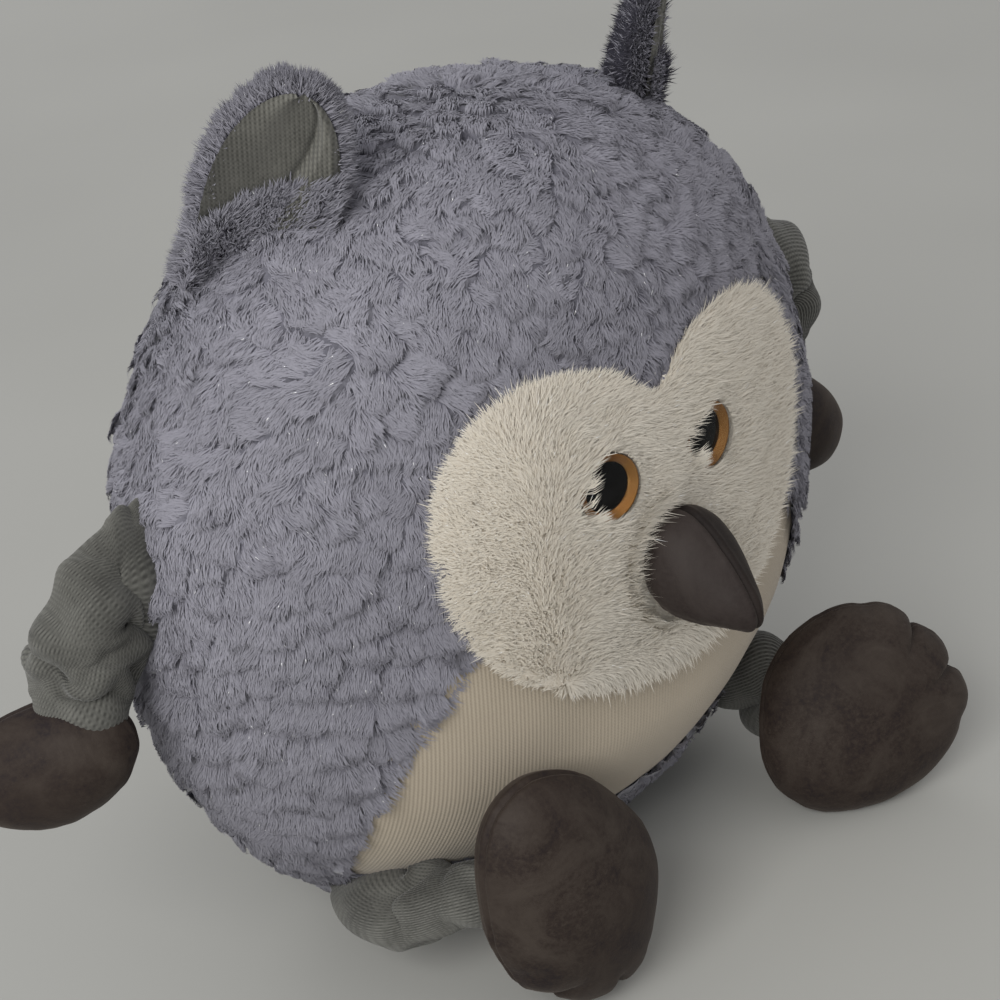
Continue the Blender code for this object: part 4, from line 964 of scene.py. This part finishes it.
def make_foot(side, matrix):
    grid = round_grid(121, 240)
    away = np.hypot(grid[..., 0], grid[..., 1])
    bearing = np.arctan2(grid[..., 1], grid[..., 0])
    outline, *lobes = FOOT_OUTLINE[side]
    for corners, (share, toward) in enumerate(lobes, 1):
        outline = outline + share * np.cos(corners * (bearing - math.radians(toward)))
    span = TOE_SPREAD * 1.5
    wave = np.abs(np.sin(math.pi * (bearing + span) / TOE_SPREAD))
    fade = step01((span - np.abs(bearing)) / TOE_SPREAD * 3)
    toes = 1 + step01((away - 0.45) / 0.55) * 0.10 * (wave - 0.65) * fade
    grow = np.where(np.abs(bearing) < span, toes, 1.0) * (1 + (outline - 1) * step01(away / 0.9))
    lean = FOOT_OVAL_LEAN[side]
    points = spun(spun(grid, lean) * np.array(FOOT_HALF) * MM, -lean)
    points[..., :2] *= grow[..., None]
    flat = points.reshape(-1, 3)
    height = noise(flat, 0.028, 61) * 1.0 * MM + noise(flat, 0.009, 62) * 0.25 * MM + seam_relief(flat, 63)
    crease = np.zeros(len(flat))
    for notch in (-TOE_SPREAD / 2, TOE_SPREAD / 2):
        off = (bearing.ravel() - notch) * away.ravel() * 44 * MM
        crease -= step01((flat[:, 0] - 24 * MM) / (16 * MM)) * (
            2.0 * MM * bell(off, 1.8 * MM) - 0.5 * MM * bell(np.abs(off) - 5 * MM, 3 * MM))
    points = raised(points, grid, height + crease)
    placed = put(points.reshape(-1, 3), matrix)
    placed[:, 2] = np.maximum(placed[:, 2], 0.3 * MM)
    points = put(placed, matrix.inverted()).reshape(points.shape)
    stuffed("foot", side, ("sole", "upper"), points, grid, FOOT_CORE, matrix)


def below_beak(points):
    """Height over the edge of the beak's underside."""
    return points[:, 2] - (BEAK_ROOT[2] - 11.25 * MM + (points[:, 1] - BEAK_ROOT[1]) * 9 / 44)


def make_beak():
    rows, columns = 120, 200
    lat = np.linspace(-math.pi / 2 + 0.01, math.pi / 2 - 0.004, rows)
    turn = 2 * math.pi * (np.arange(columns) + 0.5) / columns
    lat, turn = np.meshgrid(lat, turn, indexing="ij")
    across, over, ahead = np.cos(lat) * np.cos(turn), np.cos(lat) * np.sin(turn), np.sin(lat)
    reach = (ahead + 1) / 2
    taper = 1 - 0.46 * step01(reach)
    points = BEAK_ROOT + stacked(
        across * 20.5 * MM * taper, -reach * BEAK_LENGTH,
        over * (25 - 3 * step01(-over)) * MM * taper + (2 - 12 * reach ** 2) * MM)
    flat = points.reshape(-1, 3)
    over_under = below_beak(flat)
    away = np.minimum(np.where(over_under > 0, np.abs(flat[:, 0]), 1), np.abs(over_under))
    height = (-0.8 * MM * bell(away, 0.8 * MM) + 0.4 * MM * bell(away - 2 * MM, 1.2 * MM)
              + noise(flat * [.3, 1, .3], 2.4 * MM, 71) * 0.28 * MM * np.exp(-away / (4 * MM))
              + noise(flat, 0.016, 72) * 0.7 * MM + noise(flat, 0.006, 73) * 0.2 * MM)
    outward = points - (BEAK_ROOT + np.array([0, -18 * MM, -3 * MM]))
    placed = raised(points, outward, height).reshape(-1, 3)
    quads = grid_faces(rows, columns)
    middle = flat[quads].mean(axis=1)
    below, right = below_beak(middle) < 0, middle[:, 0] < 0
    uv = round_map(rows, columns)
    # Its left side takes the velour copy darkened as painted shade.
    for name, keep, velour in (("beak_underside", below, BEAK_UNDER), ("beak_side_right", ~below & right, BEAK),
                               ("beak_side_left", ~below & ~right, BEAK_SHADED)):
        part, faces, used = kept_part(placed, quads, keep)
        mesh_piece(name + "_velour", part, [faces], corner_map(uv[used], faces, True), velour,
                   "torso", [name])
    heart = [0, -20 * MM, 0]
    inner = BEAK_ROOT + (flat - BEAK_ROOT - heart) * 0.85 + heart
    keep = np.arange(rows * columns).reshape(rows, columns)[::8, ::8]
    mesh_piece("beak_stuffing_core", inner[keep.ravel()], [grid_faces(*keep.shape)], uv[keep.ravel()],
               STUFFING, "torso", ["beak_stuffing"])


# Eyes: sections of radius and height in millimetres, turned about each eye's axis

DOME = [(12 * math.sin(a), 4.1 + 5.3 * math.cos(a)) for a in np.linspace(0.01, math.pi / 2, 22)]
DOME += [(12.1, 3.9), (12.3, 3.4), (12.2, 1.4), (12.0, 1.4), (11.98, 3.8)]
RING = [(8.9, 1.9), (8.95, 2.05), (9.6, 2.5), (10.7, 3.2), (11.5, 3.75), (11.9, 3.95), (11.93, 3.6),
        (11.8, 1.5), (8.9, 1.5), (8.9, 1.9)]
STUD = [(.02, 2.3), (4, 2.28), (8.5, 2.0), (8.85, 1.85), (8.88, 1.3), (2.6, 1.3), (2.5, 1.0), (2.5, -10),
        (.02, -10.2)]


def make_eye(side):
    matrix = EYES[side] @ Matrix.Translation((0, 0, EYE_OUT))
    steps = 72
    turn = 2 * math.pi * np.arange(steps) / steps
    for name, section, finish, slot, node in (
            ("dome", DOME, CLEAR, "clear_plastic", "lens"), ("ring", RING, GLITTER, "amber_glitter", "iris"),
            ("stud", STUD, PUPIL, "black_plastic", "pupil")):
        radius, height = (np.array(section) * MM).T[..., None]
        points = stacked(radius * np.cos(turn), radius * np.sin(turn), height + 0 * turn)
        mesh_piece(f"eye_{name}_{side}", put(points.reshape(-1, 3), matrix), [grid_faces(len(section), steps)],
                   round_map(len(section), steps), finish, "torso", [f"eye_{node}_{side}"])
    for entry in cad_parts["eye_washer_" + side].material_slots:
        entry.material = WASHER


# Ears

EAR_PLACE = (86 * MM, 0, 283.8158 * MM)
EAR_TURNS = [math.radians(turn) for turn in (16, -10, 26)]
EAR_LEAN, EAR_LEAN_AXIS = math.radians(13), (0.5677, -0.6742, 0.4726)
EAR_HALF_WIDTH, EAR_HEIGHT, EAR_CUP, EAR_SUNK = 26 * MM, 61 * MM, 10 * MM, -0.32


def leaf_point(across, up, depth, shrink):
    """Points of the ear's leaf, cupped forwards, at shares across it and up it."""
    over = np.clip(up, 0, 1)
    width = (EAR_HALF_WIDTH - shrink) * np.sqrt(1 - over ** 3.2) * (0.86 + 0.32 * over * (1 - over))
    bend = across ** 2 * (1 - over) + 0.3 * over ** 2
    return stacked(across * width, depth - EAR_CUP * bend, up * (EAR_HEIGHT - shrink))


def make_ear(side, sign):
    tilt, lean, turn = EAR_TURNS
    matrix = (Matrix.Translation(mirrored(EAR_PLACE, sign))
              @ Matrix.Rotation(sign * EAR_LEAN, 4, mirrored(EAR_LEAN_AXIS, sign))
              @ Euler((tilt, sign * lean, sign * turn)).to_matrix().to_4x4())
    make_ear_back(side, matrix)
    make_ear_lining(side, sign, matrix)
    make_ear_pile(side, sign, matrix)


def make_ear_back(side, matrix):
    rows = columns = 60
    across, up = np.meshgrid(np.linspace(-1, 1, columns), np.linspace(EAR_SUNK, 0.999, rows))
    uv = stacked(across.ravel() * .24 + .25, up.ravel() * .72 + .25)
    sheets = []
    for depth in (1.6 * MM, 5 * MM):
        flat = put(leaf_point(across, up, depth, 3.5 * MM).reshape(-1, 3), matrix)
        uneven = noise(flat, 6 * MM, 81) * 0.8 * MM
        flat = flat + np.array(matrix)[:3, 1] * uneven[:, None]
        sheets.append(flat)
    quads = grid_faces(rows, columns, False)
    shift = rows * columns
    edge = [(i * columns, (i + 1) * columns) for i in range(rows - 1)]
    edge += [((i + 1) * columns + columns - 1, i * columns + columns - 1) for i in range(rows - 1)]
    rim = np.array([(a, b, b + shift, a + shift) for a, b in edge])
    mesh_piece("ear_back_ground_" + side, np.concatenate(sheets),
               [np.concatenate([quads, quads[:, ::-1] + shift, rim])], np.concatenate([uv, uv + [.5, 0]]),
               FUR_GROUND, "torso", ["ear_back_" + side])


def make_ear_lining(side, sign, matrix):
    """The ribbed lining, with one side folded over and a soft dent."""
    rows, columns = 130, 260
    across, up = np.meshgrid(np.linspace(-1, 1, columns), np.linspace(EAR_SUNK, 0.998, rows))
    lining = leaf_point(across, up, -1.2 * MM, 3.6 * MM)
    outer = across * -sign
    off = outer - (0.02 + 0.75 * up)
    lip = step01((off + 0.03) / 0.16) * step01((1.02 - outer) / 0.2) * (1 - up ** 6)
    lining[..., 1] += (-3.6 * lip + 1.0 * bell(off + .05, 0.08)) * MM
    lining[..., 1] += -1.6 * MM * bell(outer + 0.45, 0.35) * up
    placed = put(lining.reshape(-1, 3), matrix).reshape(lining.shape)
    count_rib = (lining[..., 0] * -sign + 0.30 * lining[..., 2]) / (1.55 * MM) + 0.6 * lip
    rib = 0.30 * MM * np.abs(np.cos(math.pi * count_rib))
    placed = placed + grid_normals(placed) * rib[..., None]
    uv = stacked(count_rib.ravel() / LINING_RIBS + 0.5, up.ravel() * .72 + .25)
    mesh_piece("ear_lining_knit_" + side, placed.reshape(-1, 3), [grid_faces(rows, columns, False)], uv,
               LINING, "torso", ["ear_lining_" + side])


def make_ear_pile(side, sign, matrix):
    """Fibres over the ear's back, thick round its rim, and some turned in at the foot of its front."""
    count = EAR_FIBRES
    across, up = RNG.uniform(-1, 1, count), RNG.uniform(-0.34, 1, count)
    turned_in = RNG.random(count) < 0.26
    at_rim = (RNG.random(count) < 0.6) & ~turned_in
    across = np.where(at_rim, np.sign(across) * RNG.uniform(0.80, 1.0, count), across)
    top = (RNG.random(count) < 0.16) & ~turned_in
    up = np.where(top, RNG.uniform(0.90, 0.998, count), up)
    up = np.where(turned_in, -0.34 + (up + 0.34) * (0.30 + 0.40 * (1 - across * sign) / 2), up)
    at_rim |= top
    over = np.clip(up, 0, 1)
    root = leaf_point(across, up * .995, np.where(at_rim, RNG.uniform(-0.3, 4.6, count), 4.4) * MM, 4.0 * MM)
    normal = stacked(across * 0.35, np.full(count, 1.0), up * 0.2)
    edge = stacked(np.sign(across) * (1 - over ** 6), RNG.uniform(-.5, .6, count), over ** 3 * 1.2)
    normal = unit(np.where(at_rim[:, None], edge, normal))
    inner = turned_in.sum()
    root[turned_in, 1] -= (RNG.uniform(5.4, 7.4, inner) + 2.6 * step01(-across[turned_in] * sign)) * MM
    normal[turned_in] = unit(np.array([0, -1.0, 0.1]) + RNG.normal(0, 0.12, (inner, 3)))
    ahead = stacked(across * 0.45, RNG.normal(0, .2, count), 0.45 + up * 0.5) + RNG.normal(0, .30, (count, 3))
    ahead = unit(ahead + normal * np.where(turned_in, 0.12, 0.40)[:, None]
                 + noise(root, 5 * MM, 83)[:, None] * [.8, .1, .5])
    ahead[turned_in] = unit(ahead[turned_in] + [-sign * 0.2, 0, 0.9])
    length = RNG.uniform(3.4, 7.0, count) * MM
    stations, arch = np.array([0, .5, 1]), np.array([0, .8, .9]) * 1.6 * MM
    line = put(fibre_lines(root, (ahead, length[:, None] * stations), (normal, arch)), matrix)
    facing = unit(np.array([0, -1.0, 0]) + RNG.normal(0, .2, (count, 3)))
    normal = np.where(at_rim[:, None], facing, normal)
    tint = fibre_tints(0.86 + RNG.normal(0, .09, count), 0.003)
    ribbons("ear_back_pile_" + side, line, RNG.uniform(.4, .6, count) * MM,
            normal @ np.array(matrix)[:3, :3].T, tint, FUR)


# Limbs: each hand's and foot's middle in millimetres, its long axis and its thickness; each
# sleeve's seam, its knots (place, half width along the seam and across it, in millimetres), its
# twist and the waves of its folds (count along it, swing round it, height in millimetres, phase)

HANDS = {
    "right": ((-192.024, 3.637, 133.0), (-.771102, .556581, -.309223), (-.623401, -.758752, .188855)),
    "left": ((186.842, 3.601, 104.026), (.775586, .09663, -.623802), (-.160937, .985826, -.047386))}
FEET = {
    "right": ((-60.391, -96.645, 49.046), (-0.18, 0.0, -0.98), (-0.06, -0.99, 0.10)),
    "left": ((102.469, -92.263, 38.896), (0.84, -0.28, 0.45), (-0.34, -0.86, 0.36))}
ARM_SEAM = (.161475, .014349, .986772)
LEG_SEAMS = {"right": (.588, -.809, 0), "left": (.588, .809, 0)}
ARMS = {
    "right": (((-143, 0, 187, 25, 4), (-155, -2, 186, 24, 6), (-163, -1, 184, 20, 8), (-170, 1, 177, 13, 10),
               (-172, 2, 168, 14, 13), (-173, 1, 160, 15, 14), (-177, 2, 152, 16, 11), (-183, 3, 142, 15, 9)),
              1.5, ((2.3, 1, 4.0, 0.6), (3.7, -1, 2.6, 2.0), (1.3, 2, 1.8, 4.0), (5.5, 3, 0.8, 1.0))),
    "left": (((143, 0, 186, 25, 4), (158, 1, 184, 25, 7), (170, 4, 181, 21, 12), (179, 6, 170, 16, 15),
              (177, 7, 157, 16, 15), (176, 8, 145, 16, 14), (179, 8, 132, 15, 12), (182, 7, 122, 13, 10)),
             -1.3, ((2.2, 1, 2.4, 2.6), (3.9, -1, 1.5, 0.5), (1.4, 2, 1.4, 1.0), (5.5, 3, 0.6, 2.0)))}
LEGS = {
    "right": (((-86, -26, 37, 23, 6), (-95, -38, 37, 21, 8), (-98, -48, 38, 17, 11), (-94, -57, 41, 13, 12),
               (-86, -63, 45, 12, 12), (-78, -69, 48, 12, 12), (-70, -78, 49, 12, 11), (-66, -89, 49, 9, 8)),
              1.1, ((2.0, 1, 2.4, 0.2), (3.4, -1, 1.5, 3.0), (1.2, 2, 1.2, 1.5), (5.0, 3, 0.5, 1.0))),
    "left": (((88, -26, 36, 24, 6), (99, -38, 36, 23, 9), (105, -45, 35, 19, 12), (104, -52, 30, 15, 13),
              (100, -57, 25, 13, 12), (99, -63, 23, 12, 12), (100, -72, 25, 12, 11), (101, -84, 31, 9, 8)),
             -1.1, ((2.1, 1, 2.2, 1.2), (3.5, -1, 1.3, 1.0), (1.2, 2, 1.2, 0.5), (5.0, 3, 0.5, 2.0)))}


def spline(knots, count):
    """Even points on a smooth line through knots."""
    line = between(knots, np.linspace(0, len(knots) - 1, count * 4))
    run = np.concatenate([[0], np.cumsum(np.linalg.norm(np.diff(line[:, :3], axis=0), axis=1))])
    return stacked(*[np.interp(np.linspace(0, run[-1], count), run, column) for column in line.T])


def sleeve(kind, end, side, seam_axis, shape, seed):
    """A limp rib-knit tube from the body to a hand or foot, in an upper and a lower piece."""
    knots, twist, waves = shape
    rows, columns = 150, SLEEVE_RIBS * 4
    line = spline(np.array(knots) * MM, rows)
    path, along_seam, across_seam = line[:, :3], line[:, 3], line[:, 4]
    share = np.linspace(0, 1, rows)
    heading = unit(np.gradient(path, axis=0))
    seam = np.zeros((rows, 3))
    held = np.array(seam_axis, float)
    for row in range(rows):
        held = unit((held - heading[row] * (heading[row] @ held))[None])[0]
        seam[row] = held
    across = np.cross(heading, seam)
    angle = 2 * math.pi * np.arange(columns) / columns + (twist * step01(share))[:, None]
    ring = (seam[:, None] * (along_seam[:, None] * np.cos(angle))[..., None]
            + across[:, None] * (across_seam[:, None] * np.sin(angle))[..., None])
    outward = unit(ring)
    centre = path[:, None] + ring
    wander = noise(centre.reshape(-1, 3), 0.016, seed).reshape(rows, columns)
    uneven = noise(centre.reshape(-1, 3), 0.022, seed + 1).reshape(rows, columns)
    calm = step01(share / 0.16) * step01((1.0 - share) / 0.14)
    total = np.zeros((rows, columns, 3))
    for count, swing, height, phase in waves:
        wave = 2 * math.pi * count * share[:, None] + swing * angle + phase + 2.4 * wander
        size = (height * MM * calm)[:, None] * (0.7 + 0.7 * uneven)
        total += outward * (size * (np.cos(wave) + 0.35 * np.cos(2 * wave)))[..., None]
        total += heading[:, None] * (size * 1.25 * np.sin(wave))[..., None]
    grid = centre + total
    normal = grid_normals(grid, True)
    normal = np.where(np.mean(np.sum(normal * outward, axis=-1)) < 0, -normal, normal)
    rib = np.tile([0.0, 0.26, 0.34, 0.26], SLEEVE_RIBS) * MM
    grid = grid + normal * rib[None, :, None]
    grid[..., 2] = np.maximum(grid[..., 2], 0.4 * MM)
    quads, uv = grid_faces(rows, columns), round_map(rows, columns)
    cut = rows // 2
    upper = quads[:, 0] < cut * columns
    limb = f"{kind}_{side}"
    for level, keep, bodies, start, stop in (
            ("upper", upper, ("torso", limb), path[2], path[int(cut * 0.6)]),
            ("lower", ~upper, (limb, f"{end}_{side}"), path[cut + (rows - cut) // 3], path[rows - 8])):
        part, faces, used = kept_part(grid.reshape(-1, 3), quads, keep)
        made = mesh_piece(
            f"{kind}_sleeve_knit_{side}_{level}", part, [faces], corner_map(uv[used], faces), GREY,
            None, [f"{kind}_sleeve_{side}"])
        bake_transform(made)


def make_limbs():
    for make, places in ((make_hand, HANDS), (make_foot, FEET)):
        for side, (place, long_axis, thick_axis) in places.items():
            make(side, seated(Vector(place) * MM, long_axis, thick_axis))
    for side, sign in SIDES.items():
        sleeve("arm", "hand", side, mirrored(ARM_SEAM, sign), ARMS[side], 91)
    for side in SIDES:
        sleeve("leg", "foot", side, LEG_SEAMS[side], LEGS[side], 95)


# Studio

# Each lamp's place, size, power and colour
LAMPS = {
    "key": ((-1.45, -0.65, 1.25), 1.0, 26, (1.0, 1.0, .98)),
    "fill": ((1.9, -1.2, 1.5), 1.6, 7, (1.0, .95, .88)),
    "back": ((1.0, 2.3, 1.5), 1.6, 14, (1.0, 1.0, 1.0))}
LIT_AT = Vector((0, 0, .15))
WORLD_LIGHT, WORLD_SEEN, WORLD_COLOUR = 0.58, 0.32, (.97, .98, 1.0, 1)
FLOOR_REACH = 40


def make_floor():
    made = Finish("studio_floor")
    tone = made.ramp(made.noise(3, 2, 0.5), (.3, (.375, .372, .352)), (.7, (.395, .392, .371)))
    mesh = bpy.data.meshes.new("studio_floor")
    corners = [(x * FLOOR_REACH, y * FLOOR_REACH, 0) for x, y in ((-1, -1), (1, -1), (1, 1), (-1, 1))]
    mesh.from_pydata(corners, [], [(0, 1, 2, 3)])
    mesh.materials.append(made.done({"Base Color": tone, "Roughness": 0.9, "Specular IOR Level": 0.1}))
    floor = bpy.data.objects.new("studio_floor", mesh)
    bpy.context.scene.collection.objects.link(floor)


def make_world():
    """A world that looks darker than it lights, to the camera and in reflections."""
    world = bpy.data.worlds.new("studio")
    world.use_nodes = True
    nodes, links = world.node_tree.nodes, world.node_tree.links
    background = nodes["Background"]
    background.inputs["Color"].default_value = WORLD_COLOUR
    rays = nodes.new("ShaderNodeLightPath").outputs
    seen = rays["Is Camera Ray"]
    for kind in ("Is Glossy Ray", "Is Transmission Ray"):
        either = nodes.new("ShaderNodeMath")
        either.operation = "MAXIMUM"
        links.new(seen, either.inputs[0])
        links.new(rays[kind], either.inputs[1])
        seen = either.outputs[0]
    strength = nodes.new("ShaderNodeMapRange")
    strength.inputs["To Min"].default_value = WORLD_LIGHT
    strength.inputs["To Max"].default_value = WORLD_SEEN
    links.new(seen, strength.inputs["Value"])
    links.new(strength.outputs["Result"], background.inputs["Strength"])
    bpy.context.scene.world = world


def make_lamps():
    for name, (place, size, power, colour) in LAMPS.items():
        light = bpy.data.lights.new(name, "AREA")
        light.size, light.energy, light.color = size, power, colour
        lamp = bpy.data.objects.new(name, light)
        lamp.location = place
        lamp.rotation_mode = "QUATERNION"
        lamp.rotation_quaternion = (LIT_AT - Vector(place)).to_track_quat("-Z", "Y")
        bpy.context.scene.collection.objects.link(lamp)
    bpy.context.scene.view_settings.view_transform = "Standard"


# The camera as fitted to the photograph: its angles, distance from the waist, lens and shift
AZIMUTH, ELEVATION, ROLL = [math.radians(angle) for angle in (-40.1, 28.2, -5.7)]
CAMERA_AWAY, SENSOR, LENS_SHARE, SHIFT = 0.7462, 36, 1.9804, (0.0162, -0.0174)


def make_camera():
    data = bpy.data.cameras.new("camera")
    data.sensor_width = SENSOR
    data.lens = SENSOR * LENS_SHARE
    data.shift_x, data.shift_y = SHIFT
    data.clip_start = 0.01
    camera = bpy.data.objects.new("camera", data)
    camera.matrix_world = (
        Matrix.Translation((0, 0, WAIST)) @ Matrix.Rotation(AZIMUTH, 4, "Z")
        @ Matrix.Rotation(math.pi / 2 - ELEVATION, 4, "X") @ Matrix.Rotation(ROLL, 4, "Z")
        @ Matrix.Translation((0, 0, CAMERA_AWAY)))
    bpy.context.scene.collection.objects.link(camera)
    bpy.context.scene.camera = camera


make_ground()
make_belly()
make_pile()
make_face_pile()
for side, sign in SIDES.items():
    make_eye(side)
    make_ear(side, sign)
make_beak()
make_limbs()
make_floor()
make_world()
make_lamps()
make_camera()
